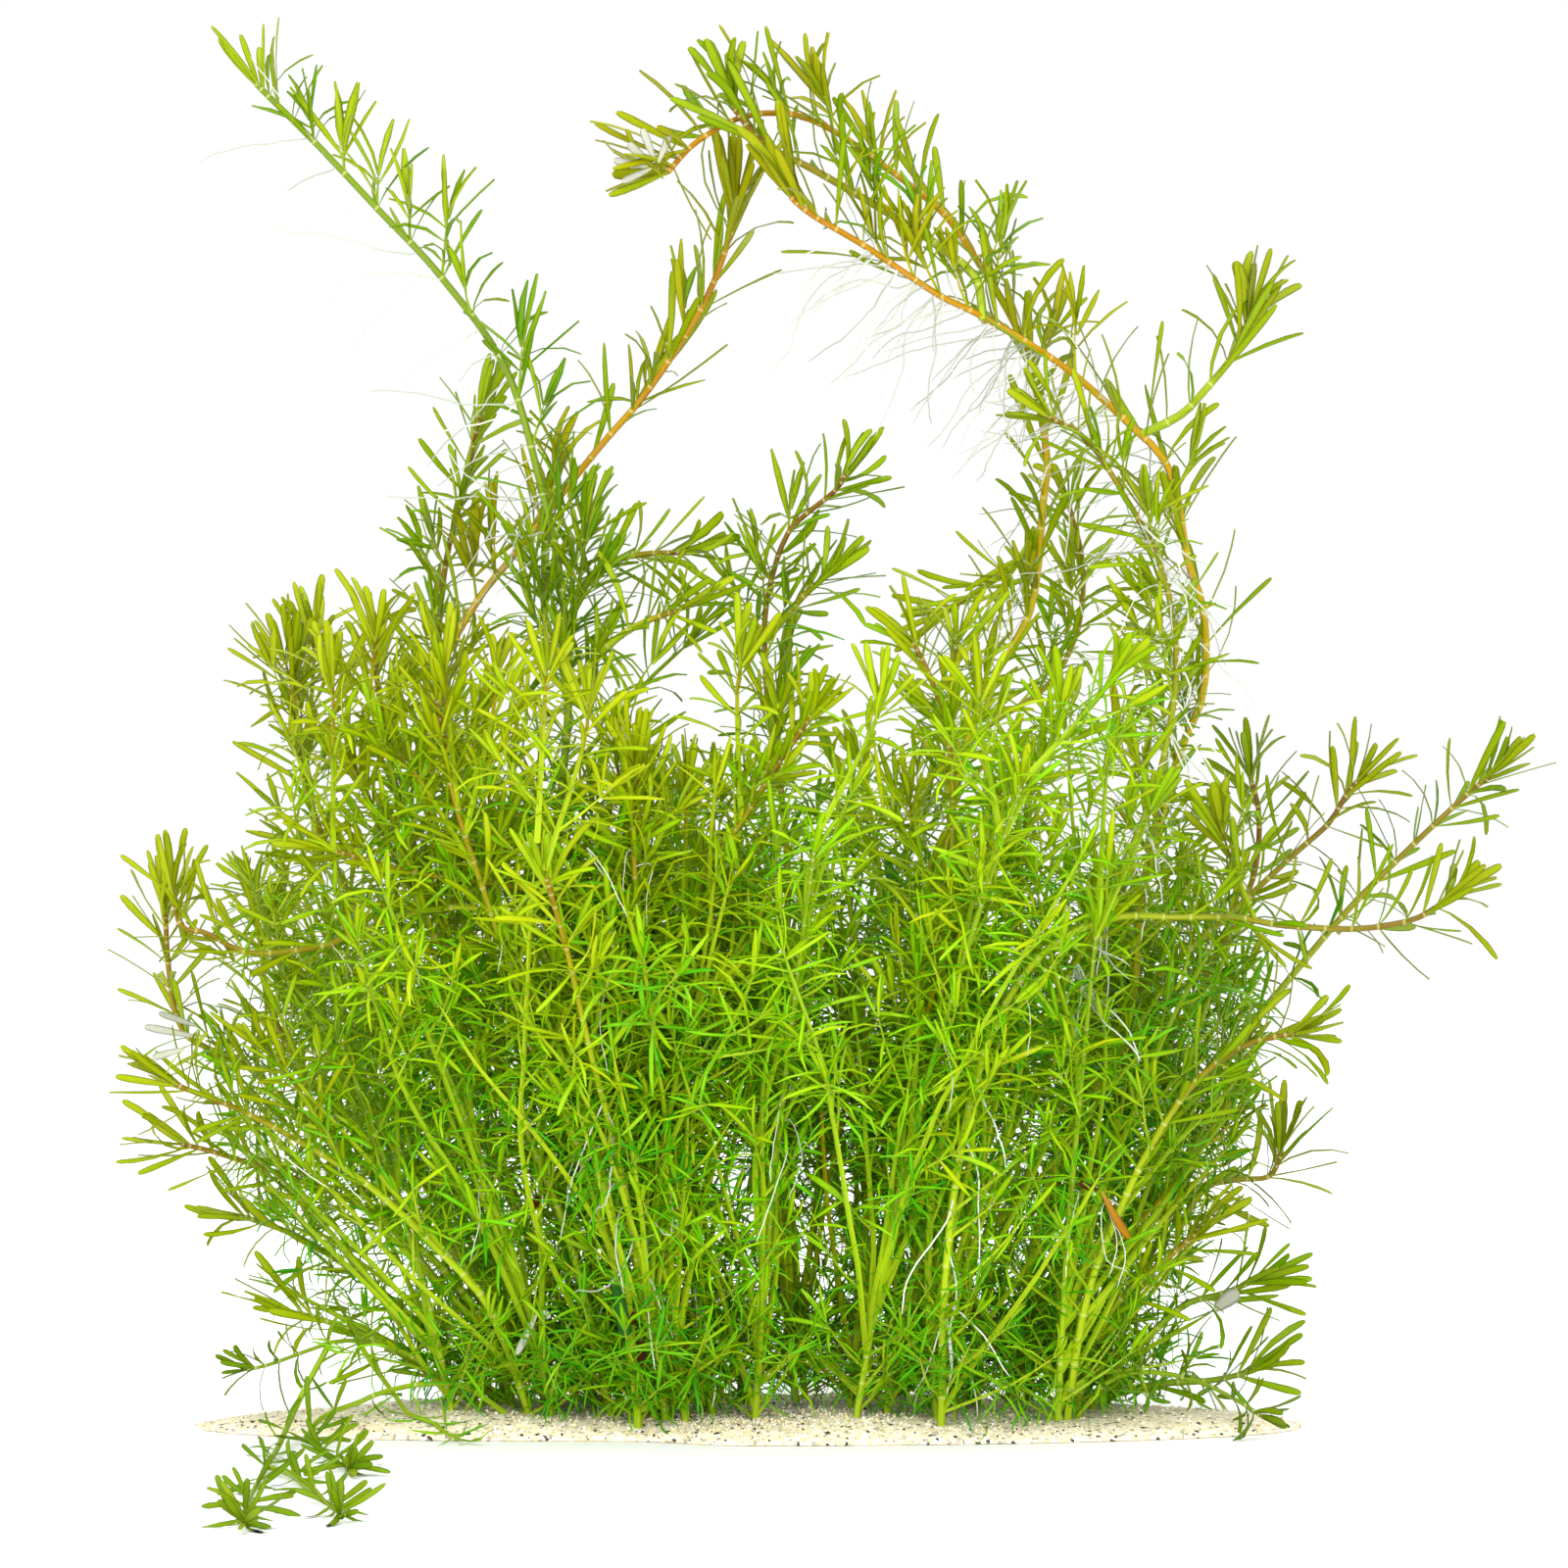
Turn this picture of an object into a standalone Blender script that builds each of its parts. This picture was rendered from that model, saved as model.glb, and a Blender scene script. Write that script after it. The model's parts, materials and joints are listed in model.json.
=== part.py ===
"""A clump of dwarf rotala, an aquarium stem plant, rooted in a low patch of sand.

Sizes in the tables are millimetres. The origin is on the underside of the sand, below the
middle of the clump. X runs to the right, Y away from the viewer and Z up.
"""
import math

import bmesh
import bpy
import numpy as np
from mathutils import Vector
from mathutils.bvhtree import BVHTree

MM = 0.001

# The front view: stems are laid out as they show from here, then each point is moved along
# its line of sight to its own depth.
EYE_X = 9.0
EYE_Z = 164.0
EYE_DISTANCE = 1400.0

# The sand patch
SAND_HALF_LENGTH = 141.0
SAND_FRONT = 40.0
SAND_BACK = 47.0
SAND_HEIGHT = 5.0
SAND_RIM = 0.6
SAND_EVENNESS = 5.0
SAND_ROUNDNESS = 0.8
SAND_SWELL = 0.5
SWELL_SPREAD = 17.0
SAND_RIPPLE = 0.4
RIPPLE_SPREAD = (7.0, 11.0)
SAND_SECTORS = 24
SAND_RINGS = (0.3, 0.6, 0.82, 0.94, 1.0)
LEFT_TAPER = 0.2
LEAST_SAND = 1.5
ABOVE_SAND = 2.2

# Stems
FOOT_RADIUS = 1.45
STEM_RADIUS = 1.2
TIP_RADIUS = 0.75
STEM_SIDES = 3
GAP = 0.3
STEM_CLEARANCE = 3.3
DEPTH_STEP = 2.2
MOST_SHIFTS = 60
ROUTE_STEP = 2.0
ROUTE_TOLERANCE = 0.9
CURVE_STEPS = 12
FEWEST_STEPS = 8
LOOK_EITHER_WAY = 2.0
NEARLY_ALONG = 0.2
FORK_FREE = 9.0
FORK_EASE = 3.0
NARROW_SHIFT = 0.6

# Leaves
LEAF_LENGTH = 14.0
LOW_LEAF_LENGTH = 9.0
LEAF_WIDTH = 2.4
LEAF_ROOM = 2.5
ROOM_READ_AT = (0.35, 0.55, 0.75, 0.9, 1.0)
ROOM_TAKEN_AT = (0.1, 0.28, 0.46, 0.64, 0.82, 1.0)
LEAST_OUTWARD = 0.35
NODE_HEIGHT = 1.5
WHORL_SPACING = 39.0
FEWEST_WHORLS = 3
MOST_WHORLS = 7
BARE_SHARE = 0.2
LEAST_BARE = 11.0
BARE_FORK = 9.0
CORNER_ROOM = 3.0
CROWN_DROP = 8.0
BUD_HEIGHT = 6.0
LEAF_GROWTH = 1.5
LEAF_LEAN = math.radians(56)
CROWN_LEAN = math.radians(24)
TOWARDS_LIGHT = 0.3
LOWEST_LEAF = 0.4
MOST_RAISED = 2.5

# Rooted stems: depth of foot, middle and tip, then the points from foot to tip as (x, z) in
# the front view.
ROOTED = {
    "long_left_stem": ((4, -6, 14), [
        (0, 4), (-8, 28), (-18, 45), (-28, 62), (-35, 79), (-43, 98), (-50, 114), (-52, 130),
        (-50, 147), (-47, 170), (-46, 190), (-48, 216), (-53, 240), (-62, 270), (-79, 294),
        (-94, 310), (-110, 327), (-125, 342), (-132, 350)]),
    "high_arch_stem": ((-6, 22, -12), [
        (26, 4), (30, 53), (34, 67), (39, 83), (46, 99), (48, 114), (51, 150), (55, 172),
        (62, 190), (72, 209), (75, 235), (76, 248), (72, 270), (67, 283), (54, 304), (47, 312),
        (34, 322), (21, 331), (10, 335), (-2, 334), (-13, 328), (-19, 322), (-23, 317)]),
    "orange_arch_stem": ((12, 4, -22), [
        (68, 4), (71, 37), (75, 56), (81, 74), (91, 92), (98, 110), (100, 134), (104, 152),
        (110, 172), (116, 188), (116, 208), (112, 221), (109, 239), (105, 248), (99, 254),
        (81, 270), (60, 283), (48, 289), (30, 301), (15, 310), (8, 317)]),
    "left_arch_stem": ((16, 34, 20), [
        (-25, 4), (-31, 32), (-44, 64), (-56, 94), (-69, 122), (-79, 147), (-81, 172),
        (-78, 194), (-69, 211), (-61, 221), (-50, 235), (-38, 250), (-26, 264), (-14, 282),
        (-7, 297), (-3, 314), (-4, 323)]),
    "pale_inner_stem": ((-16, -24, -30), [
        (35, 4), (38, 22), (46, 51), (56, 75), (74, 102), (86, 124), (96, 144), (104, 164),
        (108, 182), (109, 199), (105, 220), (95, 239), (86, 252), (78, 257), (68, 264)]),
    "bent_inner_stem": ((22, 40, 48), [
        (38, 4), (30, 32), (24, 54), (21, 77), (24, 100), (30, 122), (38, 142), (48, 162),
        (59, 177), (75, 188), (82, 198), (85, 209), (85, 222), (82, 234), (79, 246)]),
    "left_brown_stem": ((24, 46, 40), [
        (-29, 4), (-31, 30), (-40, 57), (-51, 94), (-64, 132), (-72, 160), (-78, 184),
        (-79, 204), (-77, 222), (-74, 234), (-71, 247), (-66, 268)]),
    "tall_brown_stem": ((8, 18, 4), [
        (12, 4), (10, 27), (8, 52), (7, 84), (9, 114), (10, 140), (8, 164), (5, 184), (4, 204),
        (6, 217), (10, 228), (16, 234), (23, 240), (29, 252)]),
    "mid_right_stem": ((-20, -30, -34), [
        (48, 4), (46, 27), (46, 52), (48, 84), (49, 110), (51, 130), (52, 150), (52, 164),
        (50, 180), (46, 192), (41, 202), (38, 210)]),
    "lime_mid_stem": ((-12, -26, -38), [
        (-9, 4), (-12, 24), (-16, 50), (-18, 77), (-19, 102), (-17, 124), (-11, 142),
        (-2, 154), (6, 167), (16, 182), (18, 192)]),
    "star_tip_stem": ((-22, -48, -88), [
        (-21, 4), (-28, 40), (-33, 67), (-40, 94), (-46, 120), (-51, 138), (-54, 149)]),
    "lime_left_stem": ((-24, -34, -44), [
        (-16, 4), (-19, 30), (-23, 60), (-26, 90), (-28, 114), (-29, 140), (-30, 157),
        (-31, 172)]),
    "left_upright_a": ((10, 18, 10), [
        (-39, 4), (-46, 27), (-59, 54), (-72, 82), (-88, 110), (-100, 132), (-110, 154),
        (-115, 174), (-116, 192), (-113, 204)]),
    "left_upright_b": ((-2, -8, -22), [
        (-32, 4), (-38, 24), (-48, 52), (-62, 87), (-76, 120), (-86, 150), (-92, 172),
        (-95, 192), (-97, 206)]),
    "left_upright_c": ((-26, -40, -52), [
        (-28, 4), (-32, 32), (-42, 67), (-55, 102), (-66, 132), (-75, 160), (-79, 182),
        (-81, 196)]),
    "left_upright_d": ((-14, -24, -34), [
        (-35, 4), (-44, 42), (-55, 72), (-69, 102), (-81, 127), (-91, 147), (-99, 164),
        (-105, 179)]),
    "left_curved_a": ((20, 46, 62), [
        (-50, 4), (-61, 30), (-79, 52), (-96, 70), (-111, 87), (-120, 102), (-123, 110),
        (-124, 122), (-122, 133)]),
    "left_curved_b": ((28, 58, 78), [
        (-44, 4), (-49, 20), (-61, 37), (-76, 57), (-91, 74), (-102, 90), (-108, 104),
        (-108, 116), (-106, 128)]),
    "left_flat_a": ((-8, -34, -20), [
        (-22, 4), (-25, 30), (-30, 57), (-38, 87), (-46, 110), (-56, 124), (-69, 132),
        (-80, 132), (-90, 130), (-102, 125), (-112, 122), (-128, 121), (-138, 126),
        (-145, 128), (-147, 141)]),
    "left_flat_b": ((0, -20, -44), [
        (-10, 4), (-11, 24), (-13, 50), (-16, 80), (-21, 104), (-30, 123), (-44, 134),
        (-61, 138), (-84, 141), (-96, 144), (-110, 148)]),
    "left_arched_a": ((6, 10, 22), [
        (-51, 4), (-66, 34), (-85, 54), (-102, 70), (-115, 80), (-128, 92), (-137, 96),
        (-145, 102), (-148, 117), (-149, 136)]),
    "left_arched_b": ((-12, -30, -40), [
        (-56, 4), (-66, 30), (-80, 46), (-95, 60), (-108, 69), (-128, 80), (-143, 86),
        (-151, 90)]),
    "left_arched_c": ((2, -8, -16), [
        (-60, 4), (-65, 22), (-75, 37), (-88, 49), (-102, 58), (-115, 63), (-136, 70),
        (-149, 73)]),
    "left_low_a": ((14, 26, 34), [
        (-64, 4), (-71, 14), (-86, 28), (-101, 40), (-116, 49), (-130, 54), (-138, 57)]),
    "left_low_b": ((4, 2, 6), [
        (-69, 4), (-79, 12), (-91, 20), (-105, 26), (-116, 29), (-126, 28)]),
    "right_upright_stem": ((26, 54, 66), [
        (71, 4), (76, 32), (86, 60), (99, 84), (111, 104), (121, 123), (128, 138), (130, 148),
        (130, 158), (128, 166), (128, 176)]),
    "right_slant_a": ((-4, 8, 16), [
        (58, 4), (61, 37), (71, 64), (82, 87), (96, 107), (109, 119), (124, 132), (139, 146),
        (148, 154), (153, 162), (162, 172)]),
    "right_slant_b": ((6, 20, 30), [
        (79, 4), (84, 34), (94, 56), (106, 76), (119, 92), (136, 112), (153, 132), (170, 149),
        (184, 162), (190, 167), (195, 175)]),
    "right_flat_stem": ((-28, -44, -30), [
        (49, 4), (50, 34), (53, 64), (59, 92), (68, 112), (79, 124), (94, 130), (109, 130),
        (124, 130), (136, 128), (153, 127), (163, 128), (171, 130), (179, 135), (188, 140)]),
    "right_mid_a": ((-16, -36, -48), [
        (81, 4), (86, 32), (94, 54), (104, 74), (114, 88), (126, 97), (138, 100), (150, 101)]),
    "right_mid_b": ((16, 30, 40), [
        (82, 4), (86, 22), (92, 37), (102, 51), (112, 60), (124, 63), (133, 64), (136, 71),
        (140, 80)]),
    "right_mid_c": ((-6, -14, -24), [
        (83, 4), (88, 21), (96, 34), (108, 44), (118, 53), (124, 56)]),
    "right_low_a": ((2, 4, 2), [
        (87, 4), (92, 13), (101, 22), (111, 31), (121, 34), (131, 38), (139, 40)]),
    "right_low_b": ((10, 14, 18), [
        (86, 4), (92, 8), (105, 11), (119, 12), (130, 15), (138, 20)]),
}

# Side shoots: the stem that carries each, its depth beyond that stem's at the middle and the
# tip, then the points from fork to tip.
FORKED = {
    "brown_arch_branch": ("orange_arch_stem", (6, 2), [
        (60, 284), (58, 293), (50, 300), (43, 305), (30, 313), (16, 321), (3, 328), (-6, 340)]),
    "right_top_branch": ("orange_arch_stem", (8, 18), [
        (100, 254), (110, 258), (116, 264), (124, 274), (129, 286), (133, 290)]),
    "tall_brown_branch": ("tall_brown_stem", (-8, -16), [
        (4, 201), (14, 212), (21, 218), (27, 224)]),
    "flat_brown_branch": ("long_left_stem", (8, 16), [
        (-47, 204), (-40, 217), (-31, 222), (-16, 223), (-6, 222)]),
    "flat_green_branch": ("long_left_stem", (-6, -14), [
        (-46, 184), (-41, 194), (-31, 203), (-19, 208), (-8, 210)]),
    "looped_branch": ("high_arch_stem", (12, 24), [
        (74, 228), (68, 220), (61, 215), (55, 211), (46, 206), (42, 204)]),
}

# Low shoots that lie over the sand and on the surface in front of it: the stem that carries
# each or None, then the points as (x, z, height above the surface).
LYING = {
    "right_low_c": (None, [
        (82, 4, 5.5), (91, 12, 13.6), (101, 14, 15.9), (112, 12, 14.2), (121, 8, 10.5),
        (129, 3, 5.8), (134, -2, 2.0)]),
    "trailing_stem_a": (None, [
        (-68, 6, 6.4), (-78, 12, 12.8), (-86, 18, 19.0), (-94, 21, 22.2), (-104, 22, 23.4),
        (-111, 20, 21.5), (-122, 16, 17.4), (-130, 14, 15.4), (-138, 11, 12.4)]),
    "trailing_stem_b": (None, [
        (-62, 5, 6.8), (-72, 10, 11.6), (-82, 11, 12.9), (-93, 9, 11.1), (-100, 6, 8.4),
        (-108, 3, 6.1), (-112, -2, 2.4), (-108, -7, 1.5), (-103, -10, 1.5), (-100, -12, 1.5)]),
    "trailing_branch_a": ("trailing_stem_a", [
        (-108, 21, 22.6), (-112, 12, 14.2), (-116, 4, 6.9), (-120, -5, 1.8), (-124, -12, 1.5),
        (-128, -20, 1.5), (-129, -26, 1.6)]),
    "trailing_branch_b": ("trailing_branch_a", [
        (-123, -10, 1.5), (-119, -12.5, 1.5), (-114, -17, 1.5), (-108, -21, 1.5),
        (-106, -24, 1.5)]),
}

# Stems of the inner clump, by rule: they fan out from the sand
INNER_COUNT = 14
INNER_FOOT_X = (-82, 98)
INNER_TIP_X = (-108, 122)
INNER_TIP_Z = (108, 176)
INNER_FOOT_DEPTH = 26
INNER_TIP_DEPTH = 84
INNER_SPREAD = 0.4
INNER_LEAST_FOOT = 0.4
INNER_LEAST_REACH = 0.45
INNER_BENDS = ((0.25, 0.36), (0.62, 0.7))
GOLDEN = 0.618034

# Colour groups of the stems. A stem that no word fits is green.
BROWN_STEMS = ("brown", "right_upright", "left_arch_stem")
ORANGE_STEMS = ("orange", "arch_stem")
LIME_STEMS = ("lime", "star", "pale", "flat")
COLOURS = {
    "brown": (0.30, 0.20, 0.03),
    "orange": (0.50, 0.22, 0.03),
    "lime": (0.34, 0.50, 0.03),
    "green": (0.12, 0.33, 0.02),
    "sand": (0.80, 0.70, 0.48),
}


def material(name, colour, roughness):
    """A Principled BSDF material that stands for one sub-part's own surface."""
    made = bpy.data.materials.new(name)
    made.use_nodes = True
    shader = made.node_tree.nodes["Principled BSDF"]
    shader.inputs["Base Color"].default_value = (*colour, 1.0)
    shader.inputs["Roughness"].default_value = roughness
    shader.inputs["Metallic"].default_value = 0.0
    return made


def add_object(name, bm, colour, roughness):
    """Turns a mesh in millimetres into a named object in metres with its own material."""
    bmesh.ops.recalc_face_normals(bm, faces=bm.faces)
    bmesh.ops.scale(bm, vec=(MM, MM, MM), verts=bm.verts)
    mesh = bpy.data.meshes.new(name)
    bm.to_mesh(mesh)
    bm.free()
    made = bpy.data.objects.new(name, mesh)
    made.data.materials.append(material(name, colour, roughness))
    bpy.context.scene.collection.objects.link(made)
    return made


def sand_reach(angle):
    """How far the sand runs from the origin in this direction. Its left end is drawn out."""
    across = math.cos(angle)
    along = math.sin(angle)
    deep = SAND_BACK if along > 0 else SAND_FRONT
    reach = 1.0 / math.hypot(across / SAND_HALF_LENGTH, along / deep)
    if across < 0:
        reach *= 1.0 - LEFT_TAPER * math.sin(2 * angle) ** 2
    return reach


def sand_height(x, y):
    """The height of the sand's top here, or 0 beyond its edge."""
    out = math.hypot(x, y) / sand_reach(math.atan2(y, x))
    if out >= 1.0:
        return 0.0
    ripple = SAND_RIPPLE * math.sin(x / RIPPLE_SPREAD[0] + y / RIPPLE_SPREAD[1])
    uneven = SAND_SWELL * math.sin(x / SWELL_SPREAD) + ripple
    shape = (1.0 - out**SAND_EVENNESS) ** SAND_ROUNDNESS
    return SAND_RIM + (SAND_HEIGHT - SAND_RIM + uneven) * shape


def sand_mesh():
    """The patch of sand: rings about a centre, a low rim and a flat underside."""
    bm = bmesh.new()
    centre = bm.verts.new((0, 0, sand_height(0, 0)))
    rings = []
    for share in SAND_RINGS:
        ring = []
        for i in range(SAND_SECTORS):
            angle = 2 * math.pi * i / SAND_SECTORS
            reach = share * sand_reach(angle)
            x = reach * math.cos(angle)
            y = reach * math.sin(angle)
            top = SAND_RIM if share == 1.0 else sand_height(x, y)
            ring.append(bm.verts.new((x, y, top)))
        rings.append(ring)
    rings.append([bm.verts.new((v.co.x, v.co.y, 0.0)) for v in rings[-1]])
    for i in range(SAND_SECTORS):
        j = (i + 1) % SAND_SECTORS
        bm.faces.new((centre, rings[0][i], rings[0][j]))
        for inner, outer in zip(rings, rings[1:]):
            bm.faces.new((inner[i], outer[i], outer[j], inner[j]))
    bm.faces.new(list(reversed(rings[-1])))
    bmesh.ops.triangulate(bm, faces=bm.faces)
    return bm


def line_of_sight(x, z, depth):
    """The point that shows at (x, z) from the front and lies this far behind the origin."""
    scale = (EYE_DISTANCE + depth) / EYE_DISTANCE
    return Vector((EYE_X + (x - EYE_X) * scale, depth, EYE_Z + (z - EYE_Z) * scale))


def as_seen(point):
    """Where a point shows from the front, as (x, z)."""
    scale = EYE_DISTANCE / (EYE_DISTANCE + point[1])
    return EYE_X + (point[0] - EYE_X) * scale, EYE_Z + (point[2] - EYE_Z) * scale


def lying_depth(z, height):
    """How deep a point at this height is, if it shows at z from the front."""
    return EYE_DISTANCE * ((EYE_Z - height) / (EYE_Z - z) - 1.0)


def three_depths(depths, along):
    """Runs smoothly through a foot, a middle and a tip value."""
    foot, middle, tip = depths
    curve = 2 * foot - 4 * middle + 2 * tip
    return foot + along * (tip - foot - curve) + curve * along**2


def smooth_route(points):
    """A smooth curve through the points, read at even steps."""
    ends = [2 * points[0] - points[1], *points, 2 * points[-1] - points[-2]]
    fine = []
    for a, b, c, d in zip(ends, ends[1:], ends[2:], ends[3:]):
        for t in np.linspace(0.0, 1.0, CURVE_STEPS, endpoint=False):
            fine.append(0.5 * ((2 * b) + (c - a) * t + (2 * a - 5 * b + 4 * c - d) * t**2
                               + (3 * b - a - 3 * c + d) * t**3))
    fine.append(points[-1])
    fine = np.array(fine)
    run = np.concatenate([[0.0], np.cumsum(np.linalg.norm(np.diff(fine, axis=0), axis=1))])
    stations = np.linspace(0.0, run[-1], max(FEWEST_STEPS, int(run[-1] / ROUTE_STEP)))
    return np.stack([np.interp(stations, run, fine[:, k]) for k in range(3)], axis=1)


def along_shares(points):
    """How far along the front view each point is, from 0 to 1."""
    steps = [math.hypot(b[0] - a[0], b[1] - a[1]) for a, b in zip(points, points[1:])]
    run = np.concatenate([[0.0], np.cumsum(steps)])
    return run / run[-1]


def lift_off_sand(points):
    """Raises the points that would sink into the sand, all but the foot."""
    for point in points[1:]:
        point[2] = max(point[2], sand_height(point[0], point[1]) + ABOVE_SAND)
    return points


def rooted_route(depths, seen, shift):
    """A stem from its foot on the sand, with its whole length moved shift deeper."""
    points = []
    for share, (x, z) in zip(along_shares(seen), seen):
        points.append(np.array(line_of_sight(x, z, three_depths(depths, share) + shift)))
    points[0][2] = sand_height(points[0][0], points[0][1])
    return smooth_route(lift_off_sand(points))


def forked_route(parent, depths, seen, shift):
    """A side shoot from the nearest point of the stem that carries it."""
    shown = np.array([as_seen(point) for point in parent])
    fork = parent[np.argmin(np.linalg.norm(shown - np.array(seen[0]), axis=1))]
    points = [np.array(fork)]
    for share, (x, z) in list(zip(along_shares(seen), seen))[1:]:
        depth = fork[1] + three_depths((0, *depths), share) + shift * min(1.0, FORK_EASE * share)
        points.append(np.array(line_of_sight(x, z, depth)))
    return smooth_route(points)


def lying_route(parent, seen, shift):
    """A low shoot whose depth follows from its height above the surface."""
    points = []
    for x, z, height in seen:
        points.append(np.array(line_of_sight(x + shift, z, lying_depth(z, height))))
    if parent is not None:
        points[0] = np.array(parent[np.argmin(np.linalg.norm(parent - points[0], axis=1))])
    else:
        points[0][2] = sand_height(points[0][0], points[0][1])
    return smooth_route(points)


def inner_stems():
    """The inner clump's stems: feet spread over the sand, tips fanned out in every depth."""
    stems = {}
    for i in range(INNER_COUNT):
        across = (i + 0.5) / INNER_COUNT
        mixed = (i * GOLDEN) % 1.0
        side = 1 if i % 2 else -1
        foot = INNER_FOOT_X[0] + (INNER_FOOT_X[1] - INNER_FOOT_X[0]) * across
        fan = min(1.0, max(0.0, across + INNER_SPREAD * (mixed - 0.5)))
        tip = INNER_TIP_X[0] + (INNER_TIP_X[1] - INNER_TIP_X[0]) * fan
        top = INNER_TIP_Z[0] + (INNER_TIP_Z[1] - INNER_TIP_Z[0]) * mixed
        reach = side * INNER_TIP_DEPTH * (INNER_LEAST_REACH + (1 - INNER_LEAST_REACH) * mixed)
        foot_depth = side * INNER_FOOT_DEPTH * (INNER_LEAST_FOOT + (1 - INNER_LEAST_FOOT) * mixed)
        bends = [(foot + out * (tip - foot), up * top) for out, up in INNER_BENDS]
        seen = [(foot, 4), *bends, (tip, top)]
        stems[f"inner_stem_{i + 1:02d}"] = ((foot_depth, 0.5 * reach, reach), seen)
    return stems


def thin_out(points, tolerance):
    """Keeps the points that the route needs to stay within the tolerance."""
    start, end = points[0], points[-1]
    line = (end - start) / np.linalg.norm(end - start)
    offset = points - start
    away = np.linalg.norm(offset - np.outer(offset @ line, line), axis=1)
    furthest = int(np.argmax(away))
    if away[furthest] < tolerance:
        return [start, end]
    first = thin_out(points[:furthest + 1], tolerance)
    return first[:-1] + thin_out(points[furthest:], tolerance)


def in_steps(corners, step):
    """Points at even steps along a run of straight lengths."""
    corners = np.array(corners)
    run = np.concatenate([[0.0], np.cumsum(np.linalg.norm(np.diff(corners, axis=0), axis=1))])
    stations = np.linspace(0.0, run[-1], max(2, int(run[-1] / step) + 1))
    return np.stack([np.interp(stations, run, corners[:, k]) for k in range(3)], axis=1)


def stands_clear(drawn, placed, fork):
    """Whether a stem keeps its clearance from those in place. Near its fork it may touch."""
    own = drawn
    if fork is not None:
        own = drawn[np.linalg.norm(drawn - fork, axis=1) > FORK_FREE]
    for other in placed:
        apart = np.linalg.norm(own[:, None, :] - other[None, :, :], axis=2)
        if apart.min() < STEM_CLEARANCE:
            return False
    return True


def place_stem(route_at, placed, forked):
    """Tries the stem at ever larger shifts in depth until it stands clear."""
    for attempt in range(MOST_SHIFTS):
        shift = (attempt + 1) // 2 * DEPTH_STEP * (1 if attempt % 2 else -1)
        route = route_at(shift)
        if not forked and sand_height(route[0][0], route[0][1]) < LEAST_SAND:
            continue
        corners = thin_out(route, ROUTE_TOLERANCE)
        drawn = in_steps(corners, ROUTE_STEP)
        if stands_clear(drawn, placed, route[0] if forked else None):
            return corners, drawn
    raise ValueError("a stem finds no room")


def place_all():
    """Every stem's corners and steps, by name, each clear of those before it."""
    corners, drawn = {}, {}

    def keep(name, route_at, forked):
        corners[name], drawn[name] = place_stem(route_at, list(drawn.values()), forked)

    for name, (depths, seen) in {**ROOTED, **inner_stems()}.items():
        keep(name, lambda shift: rooted_route(depths, seen, shift), False)
    for name, (carrier, depths, seen) in FORKED.items():
        keep(name, lambda shift: forked_route(drawn[carrier], depths, seen, shift), True)
    for name, (carrier, seen) in LYING.items():
        parent = drawn.get(carrier)
        keep(name, lambda shift: lying_route(parent, seen, NARROW_SHIFT * shift), parent is not None)
    return corners, drawn


def stem_radius(share):
    """The stem's thickness from foot to tip."""
    return STEM_RADIUS + (TIP_RADIUS - STEM_RADIUS) * share**2


class Stem:
    """One stem's run of straight lengths, with its own cross directions."""

    def __init__(self, corners):
        self.corners = np.array(corners)
        lengths = np.linalg.norm(np.diff(self.corners, axis=0), axis=1)
        self.run = np.concatenate([[0.0], np.cumsum(lengths)])
        self.length = self.run[-1]

    def point(self, s):
        return Vector([np.interp(s, self.run, self.corners[:, k]) for k in range(3)])

    def direction(self, s):
        after = self.point(min(s + LOOK_EITHER_WAY, self.length))
        return (after - self.point(max(s - LOOK_EITHER_WAY, 0.0))).normalized()

    def cross(self, s, phase):
        """Two directions across the stem, turned by phase."""
        along = self.direction(s)
        side = along.cross(Vector((0.0, 1.0, 0.0)))
        if side.length < NEARLY_ALONG:
            side = along.cross(Vector((1.0, 0.0, 0.0)))
        side.normalize()
        front = along.cross(side)
        first = side * math.cos(phase) + front * math.sin(phase)
        return first, along.cross(first)


def whorl_places(stem, bare_start):
    """Where the whorls sit, from the lowest to the crown, as lengths along the stem."""
    free = stem.length - CROWN_DROP - bare_start
    count = int(min(MOST_WHORLS, max(FEWEST_WHORLS, round(free / WHORL_SPACING))))
    places = [bare_start + free * (i + 0.5) / count for i in range(count)]
    return [*places, stem.length - CROWN_DROP, stem.length - 0.5 * NODE_HEIGHT]


def ring(bm, stem, s, phase, radius):
    """A ring of corners across the stem."""
    first, second = stem.cross(s, phase)
    centre = stem.point(s)
    corners = []
    for i in range(STEM_SIDES):
        angle = 2 * math.pi * i / STEM_SIDES
        out = first * math.cos(angle) + second * math.sin(angle)
        corners.append(bm.verts.new(centre + out * radius))
    return corners


def leaf_tip(face_centre, out, along, length, lean):
    """Where a leaf ends: it leaves the node at its lean and lifts a little to the light."""
    towards = out * math.sin(lean) + along * math.cos(lean) + Vector((0, 0, TOWARDS_LIGHT))
    towards += out * max(0.0, LEAST_OUTWARD - towards.dot(out))
    return face_centre + towards.normalized() * length


def above_ground(point):
    """The point, raised where it would touch the sand or the surface round it."""
    lowest = sand_height(point.x, point.y) + LOWEST_LEAF
    return Vector((point.x, point.y, max(point.z, lowest)))


def has_room(start, tip, taken, own):
    """Whether a leaf keeps clear of every other stem and leaf."""
    points = np.array([start.lerp(tip, t) for t in ROOM_READ_AT])
    apart = np.linalg.norm(points[:, None, :] - taken["points"][None, :, :], axis=2)
    apart[:, taken["owner"] == own] = np.inf
    return apart.min() > LEAF_ROOM


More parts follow.
